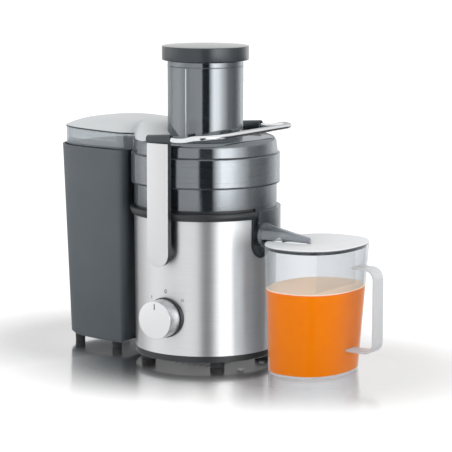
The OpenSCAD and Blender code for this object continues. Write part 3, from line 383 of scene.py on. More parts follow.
def pulpy(name, dark, light, roughness, glow, lumps, depth):
    """Opaque drink that glows in its own colour, as painted light, to make up for the little light that
    reaches it through the jug.
    """
    material, tree, shader = new_material(name)
    tones = {"Factor": grain(tree, lumps), "A": linear(dark), "B": linear(light)}
    tone = add(tree, "ShaderNodeMix", tones, "Result", data_type="RGBA")
    pulp = {"Height": grain(tree, PULP_SIZE), "Distance": depth * MM, "Strength": 1.0}
    # Painted light: the drink glows in its own colour with the strength glow.
    put(shader, {
        "Base Color": tone,
        "Emission Color": tone,
        "Emission Strength": glow,
        "Roughness": roughness,
        "IOR": 1.34,
        "Specular IOR Level": 0.1,
        "Normal": add(tree, "ShaderNodeBump", pulp),
    })
    return material


# The body's shell.
STEEL = brushed_shell_steel()
# Arm plates: steel sheet ground along its length, with a soft even sheen.
SATIN = metal("satin_steel_plate", "#CDCED0", "#D9DADB", 0.42, 0.4, (1, 1, 40))
# Bail: drawn wire, polished and chromed, that mirrors the room in thin lines.
CHROME = chrome_plate()
# Knob: metallic lacquer on a moulded cap, finer and whiter than bare steel.
KNOB = metal("satin_knob_lacquer", "#D6D8DA", "#E2E3E5", 0.34, 0.5)
# Shaft, bearings, sieve and screws: steel ground or stamped bright, a little darker than the shell.
PARTS_STEEL = metal("ground_steel", "#8E9194", "#A9ABAD", 0.3)
# Motor brackets: die-cast, dull and slightly mottled.
ALUMINIUM = metal("cast_aluminium", "#9A9C9E", "#B5B6B8", 0.55, 1.2)
# Motor cores: stacked sheets, dark with fine level lines.
LAMINATIONS = metal("stacked_steel_laminations", "#4A4D50", "#7C7F82", 0.5, 0.5, (40, 40, 1))
# Coils: varnished wire, a glossy red brown.
COPPER = metal("enamelled_copper_wire", "#8A4322", "#C06A38", 0.3, 0.8)
# Brush holders: pressed sheet, a clean yellow.
BRASS = metal("pressed_brass", "#A3803A", "#C9A55A", 0.3)

# Deck, tray and hidden mouldings: near-black ABS with a low sheen.
DARK = moulded_plastic("dark_abs", "#202428", "#282C30", 0.36, 0.5, 0.01)
# Cap: slate ABS, satin down its side, and polished on top so that it mirrors the pale ceiling.
CAP = moulded_plastic("slate_abs", "#262C31", "#2C3338", 0.3, 0.5, 0.003, 0.15, 0.12)
CAP_TOP = moulded_plastic("polished_slate_abs", "#262C31", "#2C3338", 0.3, 0.5, 0.003, 0.45, 0.1)
# Pulp bin: slate polypropylene with a matt grained face.
BIN = moulded_plastic("slate_bin_polypropylene", "#454C52", "#4D555B", 0.5, 0.8, 0.03)
# Grips: a rubberised coat, dark and smooth with a soft highlight.
GRIP = moulded_plastic("grip_rubberised_plastic", "#30363B", "#373E43", 0.27, 0.5, 0.004)
# Jug handle: pale grey ABS with a satin face.
HANDLE = moulded_plastic("satin_grey_handle_plastic", "#C3C4C6", "#CACBCD", 0.35)
# Jug lid and cover roof: clear SAN moulded against a blasted face, which turns it milky and matt.
FROSTED = moulded_plastic("frosted_san", "#DCDEE0", "#E4E6E8", 0.5)
ROOF = moulded_plastic("frosted_cover_san", "#C5C8CA", "#CCCFD1", 0.5)
# Dial marks and pointer: pad-printed ink, flat and dark.
PRINT = moulded_plastic("printed_ink", "#33373B", "#3B4044", 0.5)
# Inside the body: pressed carbon brushes, natural nylon switch, blue PVC leads, and black rubber under it.
CARBON = moulded_plastic("pressed_carbon", "#1B1C1D", "#2A2B2C", 0.6)
WHITE = moulded_plastic("switch_nylon", "#D5D6D4", "#E0E0DE", 0.5)
INSULATION = moulded_plastic("lead_insulation_pvc", "#2E4A7A", "#385688", 0.4)
RUBBER = moulded_plastic("black_rubber", "#1C1D1E", "#26282A", 0.7)

# Lid, bowl and pusher: smoke-tinted SAN, dark at its edges and glossy all over.
SMOKE = clear_plastic("smoke_tinted_san", "#3E454A", "#C9CED1", 0.2, 0.9, 0.17)
# Nozzle: the same plastic with less tint, paler than the bowl behind it.
SPOUT = clear_plastic("pale_smoke_san", "#8A9095", "#E3E5E7", 0.2, 0.7, 0.12)
# Wall of the bin's cover: thin and almost white against the light.
COVER_CLEAR = clear_plastic("bin_cover_san", "#B4BABE", "#EEF1F2", 0.22, 0.7, 0.1)
# Polished edges: light is trapped in them, so they draw a dark line.
EDGE_CLEAR = clear_plastic("polished_edge_san", "#3A3F43", "#9EA3A6", 0.7, 0.95, 0.05)
# Guide rib: it gathers the light, so it draws a bright line.
# Tube highlight: a pale clear strip that gathers the light into one bright line, a painted highlight in place
# of a reflection in the feed tube.
HIGHLIGHT_RIB = clear_plastic("highlight_rib_san", "#D5D9DC", "#EEF1F2", 0.6, 0.9, 0.15)
# Jug: untinted and glass clear. Its splash plate is clearer still, as it is thinner.
CLEAR = clear_plastic("clear_san", "#B4B9BC", "#F5F6F7", 0.0, 0.3, 0.007)
SPLASH = clear_plastic("splash_plate_san", "#D9DCDE", "#FDFDFD", 0.0, 0.3, 0.01)

# Orange juice, opaque and saturated, and its pale froth. Both glow a little as painted light, since the jug's
# walls and lid keep light from them.
JUICE = pulpy("orange_juice", "#E27000", "#EC8000", 0.5, 0.26, 12, 0.0)
FOAM = pulpy("juice_foam", "#EACDB0", "#F4E0CE", 0.7, 0.42, 4, 0.2)

BY_SLOT = {
    "moulded_dark_plastic": DARK,
    "slate_plastic": CAP,
    "bin_plastic": BIN,
    "smoke_clear_plastic": SMOKE,
    "clear_jug_plastic": CLEAR,
    "frosted_plastic": FROSTED,
    "handle_plastic": HANDLE,
    "knob_coating": KNOB,
    "brushed_steel": STEEL,
    "steel_parts": PARTS_STEEL,
    "chrome_wire": CHROME,
    "cast_aluminium": ALUMINIUM,
    "steel_laminations": LAMINATIONS,
    "copper": COPPER,
    "brass": BRASS,
    "carbon": CARBON,
    "switch_plastic": WHITE,
    "lead_insulation": INSULATION,
    "black_rubber": RUBBER,
}
# CAD nodes whose finish isn't the usual one of their slot.
BY_NODE = {
    "front_arm_plate": SATIN,
    "rear_arm_plate": SATIN,
    "top_deck": DARK,
    "spout_nozzle": SPOUT,
    "foam_separator": SPLASH,
    "sieve_cone": PARTS_STEEL,
    "grater_disc": PARTS_STEEL,
}
for node, cad_node in NODES.items():
    for material_slot in cad_node.material_slots:
        usual = BY_SLOT[material_slot.material.name.split(".")[0]]
        material_slot.material = BY_NODE.get(node, usual)


# ---- stage --------------------------------------------------------------

# The camera's turn round the object and, in metres, its distance, its height and the height that it looks at.
VIEW_TURN = math.radians(33.5)
VIEW_DISTANCE = 2.75
VIEW_HEIGHT = 0.577
LOOK_HEIGHT = 0.172
# Studio walls: bearing from the camera in degrees, and the brightness of the wall there. The lower part of
# the walls is what the steel body mirrors, the upper part is what the lid and the feed tube mirror.
WALLS_LOW = [
    (-180, 1.0), (-150, 0.5), (-128, 0.28), (-112, 0.5), (-95, 0.85), (-60, 1.0),
    (-9, 1.0), (-4, 0.07), (11, 0.07),
    (18, 0.68), (34, 0.77), (60, 0.77), (72, 0.6), (84, 0.3), (100, 0.09),
    (124, 0.02), (142, 0.3), (160, 1.0), (180, 1.0),
]
WALLS_HIGH = [
    (-180, 1.0), (-150, 0.8), (-128, 0.9), (-112, 1.5), (-90, 1.6), (-62, 1.0),
    (-12, 1.15), (-8, 0.0), (10, 0.0),
    (18, 2.6), (26, 4.6), (40, 4.2), (54, 2.4), (74, 0.7), (96, 0.45),
    (106, 0.45), (120, 1.0), (140, 1.8), (160, 1.3), (180, 1.0),
]
# Where the lower walls pass into the upper ones, and those into the sky, by the sine of a direction's height.
WALLS_JOIN = (-0.155, -0.125)
SKY_JOIN = (0.05, 0.4)
WHITE_LIGHT = (1, 1, 1, 1)
STUDIO_STRENGTH = 1.05
# Where the juicer, the bin and the jug stand on the floor: centre and radius.
BODY_SPOT, BIN_SPOT, JUG_SPOT = (0, 0, 88), (-150, 26, 60), (157, 0, 56)
# The floor's radius, and how far its mirror and its contact shadow reach.
FLOOR_R, MIRROR_REACH, SHADOW_REACH = 4000, 220, 120


def bearing_ramp(tree, share, stops):
    """Brightness by bearing round the studio."""
    ramp = add(tree, "ShaderNodeValToRGB", {"Fac": share})
    marks = ramp.node.color_ramp.elements
    for index, (degrees, level) in enumerate(stops):
        place = (degrees + 180) / 360
        mark = marks[index] if index < 2 else marks.new(place)
        mark.position = place
        mark.color = (level, level, level, 1)
    return ramp


def blended(tree, height, join, below, above):
    """Colour that passes from one to another as a direction's height goes through a join."""
    rise = add(
        tree,
        "ShaderNodeMapRange",
        {"Value": height, "From Min": join[0], "From Max": join[1]},
        interpolation_type="SMOOTHSTEP",
    )
    return add(tree, "ShaderNodeMix", {"Factor": rise, "A": below, "B": above}, "Result", data_type="RGBA")


def studio():
    """Soft studio round the object: pale walls, with a dark gap at the camera between two softboxes."""
    world = bpy.data.worlds.new("studio")
    world.use_nodes = True
    bpy.context.scene.world = world
    tree = world.node_tree
    way = add(tree, "ShaderNodeTexCoord", output="Generated")
    x, y, z = [add(tree, "ShaderNodeSeparateXYZ", {"Vector": way}, axis) for axis in "XYZ"]
    bearing = add(tree, "ShaderNodeMath", {0: y, 1: x}, operation="ARCTAN2")
    offset = add(tree, "ShaderNodeMath", {0: bearing, 1: math.pi / 2 - VIEW_TURN}, operation="ADD")
    wrapped = add(tree, "ShaderNodeMath", {0: offset, 1: math.pi, 2: -math.pi}, operation="WRAP")
    share = add(tree, "ShaderNodeMapRange", {"Value": wrapped, "From Min": -math.pi, "From Max": math.pi})
    low = bearing_ramp(tree, share, WALLS_LOW)
    high = bearing_ramp(tree, share, WALLS_HIGH)
    walls = blended(tree, z, WALLS_JOIN, low, high)
    sky = blended(tree, z, SKY_JOIN, walls, WHITE_LIGHT)
    seen = add(tree, "ShaderNodeLightPath", output="Is Camera Ray")
    backdrop = {"Factor": seen, "A": sky, "B": WHITE_LIGHT}
    light = add(tree, "ShaderNodeMix", backdrop, "Result", data_type="RGBA")
    put(tree.nodes["Background"], {"Color": light, "Strength": STUDIO_STRENGTH})


def faded(tree, spots, reach, beside, away):
    """A value that eases from one to another over a reach outwards from what stands on the floor."""
    place = add(tree, "ShaderNodeTexCoord", output="Object")
    nearest = FLOOR_R * MM
    for x, y, radius in spots:
        ends = {0: place, 1: (x * MM, y * MM, 0)}
        distance = add(tree, "ShaderNodeVectorMath", ends, "Value", operation="DISTANCE")
        gap = add(tree, "ShaderNodeMath", {0: distance, 1: radius * MM}, operation="SUBTRACT")
        nearest = add(tree, "ShaderNodeMath", {0: nearest, 1: gap}, operation="MINIMUM")
    return add(
        tree,
        "ShaderNodeMapRange",
        {"Value": nearest, "From Min": 0.0, "From Max": reach * MM, "To Min": beside, "To Max": away},
        interpolation_type="SMOOTHSTEP",
    )


def floor():
    """Pale acrylic sheet under the object: a mirror beside it that dies away, and a soft contact shadow.

    Mirrors in the object look through it, so that they see the studio's walls to the ground.
    """
    deselect()
    bpy.ops.mesh.primitive_circle_add(vertices=96, radius=FLOOR_R * MM, fill_type="NGON")
    sheet = bpy.context.object
    sheet.name = "floor"
    material, tree, shader = new_material("white_acrylic")
    spots = (BODY_SPOT, BIN_SPOT, JUG_SPOT)
    shade = faded(tree, (BODY_SPOT, BIN_SPOT), SHADOW_REACH, 0.12, 0.62)
    put(shader, {"Roughness": 0.6, "Specular IOR Level": 0.0, "Base Color": shade})
    glow = add(tree, "ShaderNodeEmission", {"Strength": faded(tree, spots, MIRROR_REACH, 0.0, 0.5)})
    matt = add(tree, "ShaderNodeAddShader", {0: shader.outputs["BSDF"], 1: glow})
    mirror = add(tree, "ShaderNodeBsdfGlossy", {"Roughness": 0.13})
    polished = {"Fac": faded(tree, spots, MIRROR_REACH, 0.85, 0.0), 1: matt, 2: mirror}
    mirrored = add(tree, "ShaderNodeLightPath", output="Is Glossy Ray")
    clear = add(tree, "ShaderNodeBsdfTransparent")
    surface = {"Fac": mirrored, 1: add(tree, "ShaderNodeMixShader", polished), 2: clear}
    put(tree.nodes["Material Output"], {"Surface": add(tree, "ShaderNodeMixShader", surface)})
    sheet.data.materials.append(material)


def camera():
    """Long lens that looks a little down at the front right of the juicer."""
    data = bpy.data.cameras.new("camera")
    data.lens = 178.5
    data.sensor_width = 36
    data.shift_x = 0.0454
    data.shift_y = -0.0155
    data.clip_end = 20
    view = bpy.data.objects.new("camera", data)
    bpy.context.scene.collection.objects.link(view)
    view.location = (math.sin(VIEW_TURN) * VIEW_DISTANCE, -math.cos(VIEW_TURN) * VIEW_DISTANCE, VIEW_HEIGHT)
    aim = Vector((0, 0, LOOK_HEIGHT)) - view.location
    view.rotation_euler = aim.to_track_quat("-Z", "Y").to_euler()
    bpy.context.scene.camera = view


studio()
floor()
camera()
bpy.context.scene.view_settings.view_transform = "Standard"

# ---- sizes read from the CAD model ----------------------------------------

LID_LOW, LID_HIGH = box_mm("lid")
JUG_LOW, JUG_HIGH = box_mm("jug_body")
KNOB_LOW, KNOB_HIGH = box_mm("knob_cap")
GRIP_LOW, GRIP_HIGH = box_mm("front_grip")
WIRE_LOW, WIRE_HIGH = box_mm("bail_wire")

LID_WALL = 2.2
LID_EDGE = 8
SKIRT_R = LID_HIGH.x
TIER_R = SKIRT_R - 4
SEAM_Z = box_mm("pulp_bin")[1].z
BOWL_Z = box_mm("juice_bowl")[1].z
SKIRT_Z = BOWL_Z - 3
TUBE_Z = box_mm("pusher_cap")[0].z - 0.3
TUBE_R = box_mm("pusher_body")[1].x + 4.1
BORE_R = TUBE_R - 3.5
LID_Z = TUBE_Z - 93
# Bearing and radius of the strip that paints a highlight line up the feed tube.
HIGHLIGHT_TURN, HIGHLIGHT_R = math.radians(-87.5), 0.8

KNOB_R = KNOB_HIGH.x
KNOB_Z = (KNOB_LOW.z + KNOB_HIGH.z) / 2


# ---- lid ----------------------------------------------------------------


def lid_shell():
    """Smoke lid turned in one: bead foot, skirt, shadow groove, upper tier, top and feed tube.

    The foot's bead and the groove are polished edges, in which the light is trapped.
    """
    inner = SKIRT_R - LID_WALL
    tier_mid, tier_z = TIER_R - LID_EDGE, LID_Z - LID_EDGE
    bead, bead_h, brow, fillet = 0.7, 2.2, 0.9, 2
    ring_z = TUBE_Z - 7
    mouth, bore_mouth = 1, 0.8
    ledge = 1.4
    profile = [
        (inner, SKIRT_Z),
        *arc(SKIRT_R - bead, SKIRT_Z + bead, bead, -90, 0, 3),
        (SKIRT_R, SKIRT_Z + bead_h),
        *arc(SKIRT_R - brow, SEAM_Z - brow, brow, 0, 90, 4),
        (TIER_R + 1.2, SEAM_Z + 0.1),
        (TIER_R + 0.9, SEAM_Z + 0.9),
        (TIER_R + 1.3, SEAM_Z + 1.5),
        *arc(tier_mid, tier_z, LID_EDGE, 0, 90, 8),
        *reversed(arc(TUBE_R + fillet, LID_Z + fillet, fillet, 180, 270, 4)),
        (TUBE_R, ring_z - 0.6),
        *arc(TUBE_R - 0.2, ring_z, 0.7, -60, 60, 4),
        (TUBE_R, ring_z + 0.6),
        *arc(TUBE_R - mouth, TUBE_Z - mouth, mouth, 0, 90, 4),
        *arc(BORE_R + bore_mouth, TUBE_Z - bore_mouth, bore_mouth, 90, 180, 4),
        (BORE_R, LID_LOW.z),
        (TUBE_R, LID_LOW.z),
        (TUBE_R, LID_Z - LID_WALL),
        *arc(tier_mid, tier_z, LID_EDGE - LID_WALL, 90, 0, 6),
        (TIER_R + 1.4 - LID_WALL, SEAM_Z + 0.8),
        (inner, SEAM_Z - LID_WALL),
        (inner, BOWL_Z + 11.5),
        (inner - ledge, BOWL_Z + 10.5),
        (inner - ledge, BOWL_Z + 5),
        (inner, BOWL_Z + 4),
        (inner, SKIRT_Z),
    ]
    piece = smooth(turned("lid_shell", profile, sides=192), 25)
    finish(piece, SMOKE, "base", "smoke_clear_plastic", "lid")

    def polished(face):
        away = math.hypot(face.center.x, face.center.y) / MM
        height = face.center.z / MM
        foot = height < SKIRT_Z + bead_h - 0.1 and away > SKIRT_R - 1
        groove = abs(height - SEAM_Z - 0.8) < 0.75 and away > TIER_R
        return foot or groove

    return refinish(piece, EDGE_CLEAR, polished)


def tube_highlight_rib():
    """Pale strip up the feed tube: a painted highlight that shows as one bright line where the tube reflects
    the light.
    """
    x, y = TUBE_R * math.cos(HIGHLIGHT_TURN), TUBE_R * math.sin(HIGHLIGHT_TURN)
    points = [(x, y, z) for z in (LID_Z + 1.5, LID_Z + 40, TUBE_Z - 8)]
    return finish(swept("tube_highlight_rib", points, HIGHLIGHT_R), HIGHLIGHT_RIB, "base", "smoke_clear_plastic")


# ---- cover over the pulp bin -----------------------------------------------

# The cover is drawn in the bin's frame, which is the lid's turned by BIN_TURN, with the bin towards -x. Its
# far end is a rounded oblong, its sides taper to a shoulder, and the shoulder slants in to the neck. From
# there its sheet carries on over the lid, as a part of a disc, and ends in a straight edge by the feed tube.
BIN_TURN = math.radians(-10)
FAR_X, FAR_LENGTH, FAR_POWER = -137, 73, 3.1
HALF_WIDTH = 66
SHOULDER_X, SHOULDER_TAPER = -88, 3
NECK_X = -76
SHEET_END = -12

# The roof is crowned about a crest, from which spokes run to its outline. The cover's wall stands on those
# that lie more than NECK_TURN degrees from the neck. A corner is rounded over CORNER_SPREAD spokes each way.
CREST_X = -90
SPOKES = 240
NECK_TURN = 74
RINGS = 30
CORNER_SPREAD = 3
# Along a spoke the outline is looked for from far out, in steps.
FARTHEST = 200
REACH_STEP = 0.5

# The edge climbs towards the far end, and the dome rises from it. The sheet lies a little over the lid.
COVER_EDGE_Z = LID_Z + 1.5
COVER_CLIMB = 2.6
COVER_RISE = 13
CROWN_POWER = 6
SHEET_LIFT, SHEET_T, TUBE_GAP = 0.7, 2.0, 0.15
# Radius of the dark line of painted shade round the cover's edge.
EDGE_SHADE_R = 0.75
# Stretches of x over which the dome rises from the lid, and over which the neck passes into the bin's roof.
LID_BLEND = (-4, -52)
NECK_BLEND = (-69, -80)
ROOF_SOFTENING = 60


def ease(value, start, end):
    """Smooth step from 0 at start to 1 at end."""
    t = min(max((value - start) / (end - start), 0), 1)
    return t * t * (3 - 2 * t)


def under_cover(x, y):
    """Whether a point of the bin's frame lies under the cover."""
    y = abs(y)
    if x <= FAR_X:
        over_bin = ((FAR_X - x) / FAR_LENGTH) ** FAR_POWER + (y / HALF_WIDTH) ** FAR_POWER <= 1
    elif x <= SHOULDER_X:
        over_bin = y <= HALF_WIDTH - SHOULDER_TAPER * (x - FAR_X) / (SHOULDER_X - FAR_X)
    else:
        over_bin = x <= NECK_X and y <= HALF_WIDTH - SHOULDER_TAPER - (x - SHOULDER_X)
    over_lid = math.hypot(x, y) <= TIER_R - 1 and x <= SHEET_END
    return over_bin or over_lid


def from_crest(angle, away):
    """Point of the bin's frame in a direction from the crest, at a distance from it."""
    return CREST_X + away * math.cos(angle), away * math.sin(angle)


def on_spoke(index, away):
    """Point of the bin's frame on one of the spokes, at a distance from the crest."""
    return from_crest(2 * math.pi * index / SPOKES, away)


def raw_reach(index):
    """Distance from the crest to the outline along one of the spokes."""
    away = FARTHEST
    while away > 1 and not under_cover(*on_spoke(index, away)):
        away -= REACH_STEP
    return away


RAW_REACH = [raw_reach(i) for i in range(SPOKES)]
NEAR_SPOKES = range(-CORNER_SPREAD, CORNER_SPREAD + 1)
REACH = [sum(RAW_REACH[(i + k) % SPOKES] for k in NEAR_SPOKES) / len(NEAR_SPOKES) for i in range(SPOKES)]


def lid_surface(x, y):
    """Height of the cover's sheet where it lies on the lid: just over the top and its rounded edge."""
    past = min(max(math.hypot(x, y) - TIER_R + LID_EDGE, 0), LID_EDGE)
    return LID_Z - LID_EDGE + math.sqrt(LID_EDGE**2 - past**2) + SHEET_LIFT


def edge_height(x):
    """Height of the cover's edge, which climbs a little towards the bin's far end."""
    length = NECK_X - FAR_X + FAR_LENGTH
    return COVER_EDGE_Z + COVER_CLIMB * min(max((NECK_X - x) / length, 0), 1)


def roof_height(x, y, share):
    """Height of the domed roof at a point of the bin's frame; share is 0 on the crest and 1 on the edge."""
    dome = 1 - share**CROWN_POWER
    over_bin = edge_height(x) + COVER_RISE * dome
    over_lid = lid_surface(x, y) + (COVER_RISE + 1) * ease(x, *LID_BLEND) * dome
    return over_lid + (over_bin - over_lid) * ease(x, *NECK_BLEND)


def cover_roof():
    """Frosted roof that runs as one sheet from the bin's far end over the neck to the feed tube."""
    piece = turned("cover_roof", [(i / RINGS, 0) for i in range(RINGS + 1)], sides=SPOKES)
    for vertex in piece.data.vertices:
        share = min(math.hypot(vertex.co.x, vertex.co.y) / MM, 1)
        angle = math.atan2(vertex.co.y, vertex.co.x)
        x, y = from_crest(angle, share * REACH[round(angle / (2 * math.pi) * SPOKES) % SPOKES])
        vertex.co = Vector((x, y, roof_height(x, y, share))) * MM
    edit(piece, "VERT", "DESELECT")
    bpy.ops.mesh.select_non_manifold()
    bpy.ops.mesh.select_all(action="INVERT")
    bpy.ops.mesh.vertices_smooth(factor=0.5, repeat=ROOF_SOFTENING, xaxis=False, yaxis=False)
    bpy.ops.object.mode_set(mode="OBJECT")
    for vertex in piece.data.vertices:
        x, y, z = vertex.co / MM
        if math.hypot(x, y) < TIER_R - 1:
            vertex.co.z = max(z, lid_surface(x, y)) * MM
    piece.data.materials.append(ROOF)
    piece.data.materials.append(EDGE_CLEAR)
    modified(piece, "SOLIDIFY", thickness=SHEET_T * MM, offset=-1, material_offset_rim=1)
    piece.rotation_euler.z = BIN_TURN
    bore_through(placed(piece), TUBE_R + TUBE_GAP, LID_Z - 20, LID_Z + 30)
    rounded(piece, 0.3, 40, 2)
    # finish would take the edge's own material away.
    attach(piece, "base")
    return piece


def bore_through(piece, radius, low, high):
    """Cut a round hole on the motor's axis through a piece."""
    deselect()
    bpy.ops.mesh.primitive_cylinder_add(
        vertices=144, radius=radius * MM, depth=(high - low) * MM, location=(0, 0, (low + high) / 2 * MM)
    )
    cutter = bpy.context.object
    modified(piece, "BOOLEAN", operation="DIFFERENCE", solver="EXACT", object=cutter)
    bpy.data.objects.remove(cutter, do_unlink=True)


def cover_edge(inset):
    """Points of the cover's outline in the bin's frame, from one side of the neck round to the other."""
    start, end = round(SPOKES * NECK_TURN / 360), round(SPOKES * (360 - NECK_TURN) / 360)
    return [on_spoke(i, REACH[i] - inset) for i in range(start, end + 1)]


def cover_wall():
    """Clear side wall of the bin cover, open where the neck meets the lid."""
    foot, gap = SEAM_Z + 0.3, 1.7
    wall = traced("cover_wall", [(x, y, foot) for x, y in cover_edge(0.4)])
    edit(wall)
    bpy.ops.mesh.extrude_region_move(TRANSFORM_OT_translate={"value": (0, 0, 20 * MM)})
    bpy.ops.object.mode_set(mode="OBJECT")
    for vertex in wall.data.vertices:
        if vertex.co.z > (foot + 1) * MM:
            vertex.co.z = (edge_height(vertex.co.x / MM) - gap) * MM
    modified(wall, "SOLIDIFY", thickness=LID_WALL * MM)
    wall.rotation_euler.z = BIN_TURN
    rounded(weld(wall), 0.4, 40, 2)
    return finish(wall, COVER_CLEAR, "base", "smoke_clear_plastic")


def cover_edge_shade():
    """Dark line that runs round the cover between its roof and its wall: painted shade for the light trapped
    in the cover's edge.
    """
    turn = Matrix.Rotation(BIN_TURN, 3, "Z")
    points = [turn @ Vector((x, y, edge_height(x) - 1.1)) for x, y in cover_edge(0.3)]
    return finish(swept("cover_edge_shade", points, EDGE_SHADE_R), EDGE_CLEAR, "base", "smoke_clear_plastic")


# ---- pusher and knob ------------------------------------------------------

CROWN_H = 1.9
POINTER_Z = 16.5
MARK_RING = 32
MARK_TURN = 45
# The steel shell's radius at SHELL_FOOT_Z, and how much it grows for each millimetre above it.
SHELL_R, SHELL_FLARE, SHELL_FOOT_Z = 87.1, 0.009, 16


def pusher_cap():
    """Slate cap with a small rounding under a slightly crowned and polished top."""
    low, high = box_mm("pusher_cap")
    radius, edge = high.x, high.z - CROWN_H
    profile = [
        (0, low.z),
        *arc(radius - 1.4, low.z + 1.4, 1.4, -90, 0, 5),
        *arc(radius - 1.0, edge - 1.0, 1.0, 0, 82, 5),
        *[(r, high.z - CROWN_H * (r / radius) ** 2) for r in (44, 34, 24, 12, 0)],
    ]
    piece = smooth(turned("cap", profile, sides=160), 30)
    finish(piece, CAP, "pusher", "slate_plastic", "pusher_cap")
    return refinish(piece, CAP_TOP, lambda face: face.normal.z > 0.9)


def knob():
    """Lacquered knob with a small rounding at its face, made along Z and turned to the front."""
    face, back = -KNOB_LOW.y, -KNOB_HIGH.y
    profile = [
        (0, back + 3),
        (KNOB_R - 3, back + 3),
        (KNOB_R - 3, back),
        *arc(KNOB_R - 0.5, back + 0.5, 0.5, -90, 0, 3),
        *arc(KNOB_R - 1.0, face - 1.0, 1.0, 0, 90, 6),
        (0, face),
    ]
    piece = turned("knob", profile, sides=120)
    piece.rotation_euler.x = math.pi / 2
    piece.location.z = KNOB_Z * MM
    smooth(placed(piece), 30)
    return finish(piece, KNOB, "knob", "knob_coating", "knob_cap")


def knob_pointer():
    """Dark inlaid line that shows the knob's setting."""
    centre = (0, KNOB_LOW.y + 0.38, KNOB_Z + POINTER_Z)
    return finish(slab("knob_pointer", (1.5, 1.0, 7.5), centre, 0.2), PRINT, "knob", "moulded_dark_plastic")


def bar_stroke(x):
    """Upright printed stroke of a mark."""
    return slab("stroke", (0.6, 0.3, 3.8), (x, 0, 0), 0.1)


def ring_stroke():
    """Upright printed ring that reads as 0."""
    deselect()
    bpy.ops.mesh.primitive_torus_add(
        major_radius=1.35 * MM, minor_radius=0.3 * MM, major_segments=32, minor_segments=8
    )
    ring = bpy.context.object
    ring.scale = (1, 1.45, 0.5)
    ring.rotation_euler.x = math.pi / 2
    return placed(ring)


def dial_marks():
    """Printed marks round the knob: I, 0 and II, laid on the shell's curve."""
    marks = {-MARK_TURN: [bar_stroke(0)], 0: [ring_stroke()], MARK_TURN: [bar_stroke(-0.9), bar_stroke(0.9)]}
    for turn, strokes in marks.items():
        across = MARK_RING * math.sin(math.radians(turn))
        up = KNOB_Z + MARK_RING * math.cos(math.radians(turn))
        shell_r = SHELL_R + (up - SHELL_FOOT_Z) * SHELL_FLARE
        lean = math.asin(across / shell_r)
        place = Matrix.Translation(Vector((across, -shell_r * math.cos(lean), up)) * MM)
        for stroke in strokes:
            stroke.matrix_world = place @ Matrix.Rotation(lean, 4, "Z")
    strokes = sum(marks.values(), [])
    deselect()
    for stroke in strokes:
        stroke.select_set(True)
    bpy.context.view_layer.objects.active = strokes[0]
    bpy.ops.object.transform_apply(location=True, rotation=True, scale=True)
    bpy.ops.object.join()
    piece = bpy.context.object
    piece.name = piece.data.name = "dial_marks"
    return finish(smooth(piece), PRINT, "base", "moulded_dark_plastic")


# ---- jug and its contents -------------------------------------------------

JUICE_LOW, JUICE_HIGH = 3, 102
FOAM_HIGH = 104
FILLING_INSET = 0.7
JUG_LID_LINE = 1.4


def filling(name, low, high):
    """What stands in the jug between two heights: the jug's outer form drawn in, cut level and capped.

    It reaches into the clear wall, as the bending of light in the wall makes it look.
    """
    piece = refined("jug_body", name)
    middle = (JUG_LOW.x + JUG_HIGH.x) / 2 * MM
    edit(piece, "FACE", "DESELECT")
    bpy.ops.object.mode_set(mode="OBJECT")
    for face in piece.data.polygons:
        outwards = face.normal.x * (face.center.x - middle) + face.normal.y * face.center.y
        face.select = outwards <= MM
    bpy.ops.object.mode_set(mode="EDIT")
    bpy.ops.mesh.delete(type="FACE")
    for height, above in ((high, True), (low, False)):
        bpy.ops.mesh.select_all(action="SELECT")
        bpy.ops.mesh.bisect(
            plane_co=(0, 0, height * MM),
            plane_no=(0, 0, 1),
            use_fill=True,
            clear_outer=above,
            clear_inner=not above,
        )
    bpy.ops.mesh.select_all(action="SELECT")
    bpy.ops.mesh.normals_make_consistent(inside=False)
    bpy.ops.transform.shrink_fatten(value=-FILLING_INSET * MM)
    bpy.ops.object.mode_set(mode="OBJECT")
    return rounded(smooth(piece, 30), 0.4)


def drinks():
    """Orange juice under a layer of foam. Neither is mirrored, so they leave no orange on the steel."""
    juice = finish(filling("juice", JUICE_LOW, JUICE_HIGH), JUICE, "jug", "clear_jug_plastic")
    foam = finish(filling("juice_foam", JUICE_HIGH, FOAM_HIGH), FOAM, "jug", "clear_jug_plastic")
    juice.visible_glossy = foam.visible_glossy = False


def jug_lid():
    """Frosted lid with a polished lower edge, which looks dark where the light is trapped in it."""
    piece = refined("jug_lid", "jug_cover_plate", 0.4)
    top = box_mm("jug_lid")[1].z
    edit(piece)
    bpy.ops.mesh.bisect(plane_co=(0, 0, (top - JUG_LID_LINE) * MM), plane_no=(0, 0, 1))
    bpy.ops.object.mode_set(mode="OBJECT")
    finish(smooth(piece), FROSTED, "jug_cover", "frosted_plastic", "jug_lid")

    def lower_edge(face):
        return abs(face.normal.z) < 0.6 and face.center.z < (top - JUG_LID_LINE + 0.1) * MM

    return refinish(piece, EDGE_CLEAR, lower_edge)


# ---- bail wire --------------------------------------------------------------

WIRE_R = 3.4
WIRE_BEND = 34
WIRE_SAG = 2.6


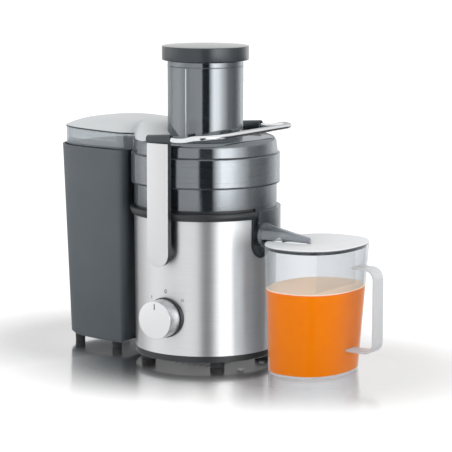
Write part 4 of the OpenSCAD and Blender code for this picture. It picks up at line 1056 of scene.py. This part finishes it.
def bail_loop():
    """Chromed wire bent in one sweep from the near grip round the front of the tube to the far grip.

    It leaves each grip level, sags a little beyond it, and rises to its bow.
    """
    across = (GRIP_LOW.y + GRIP_HIGH.y) / -2
    grip_z = (GRIP_LOW.z + GRIP_HIGH.z) / 2
    reach = WIRE_HIGH.x - WIRE_R
    rise = WIRE_HIGH.z - WIRE_R - grip_z
    bend_x = reach - WIRE_BEND
    corner = arc(bend_x, -(across - WIRE_BEND), WIRE_BEND, -90, 0, 16)
    path = [(WIRE_LOW.x + 4, -across), (0, -across)]
    path += [(x, -across) for x in range(6, int(bend_x), 4)]
    path += corner
    path += [(reach, y) for y in range(-48, 49, 8)]
    path += [(x, -y) for x, y in reversed(corner)]
    path += [(x, across) for x in range(int(bend_x) - 2, 5, -4)]
    path += [(0, across), (WIRE_LOW.x + 4, across)]
    points = []
    for x, y in path:
        sag = WIRE_SAG * ease(x, 10, 26) * ease(x, 52, 34)
        points.append((x, y, grip_z + rise * max(x, 0) / reach - sag))
    return finish(swept("bail_loop", points, WIRE_R), CHROME, "bail", "chrome_wire", "bail_wire")


# ---- shells that keep their form ------------------------------------------

# Shells that keep the CAD form, with their edges rounded: new name, rounding, material, body and slot.
REFINED = {
    "jug_body": ("clear_jug", 0.6, CLEAR, "jug", "clear_jug_plastic"),
    "jug_handle": ("jug_strap", 0.7, HANDLE, "jug", "handle_plastic"),
    "pulp_bin": ("pulp_bin_shell", 0.8, BIN, "bin", "bin_plastic"),
    "front_arm_plate": ("front_plate", 0.35, SATIN, "bail", "brushed_steel"),
    "rear_arm_plate": ("rear_plate", 0.35, SATIN, "bail", "brushed_steel"),
    "front_grip": ("front_sleeve", 1.2, GRIP, "bail", "moulded_dark_plastic"),
    "rear_grip": ("rear_sleeve", 1.2, GRIP, "bail", "moulded_dark_plastic"),
}


def cad_shell(node):
    """Build one of these shells in place of its CAD node."""
    name, edge, material, body, slot = REFINED[node]
    return finish(refined(node, name, edge), material, body, slot, node)


# ---- build ------------------------------------------------------------------

lid_shell()
cover_roof()
cover_wall()
cover_edge_shade()
pusher_cap()
knob()
knob_pointer()
dial_marks()
cad_shell("jug_body")
drinks()
jug_lid()
cad_shell("jug_handle")
bail_loop()
tube_highlight_rib()
cad_shell("pulp_bin")
for side in ("front", "rear"):
    cad_shell(f"{side}_arm_plate")
    cad_shell(f"{side}_grip")
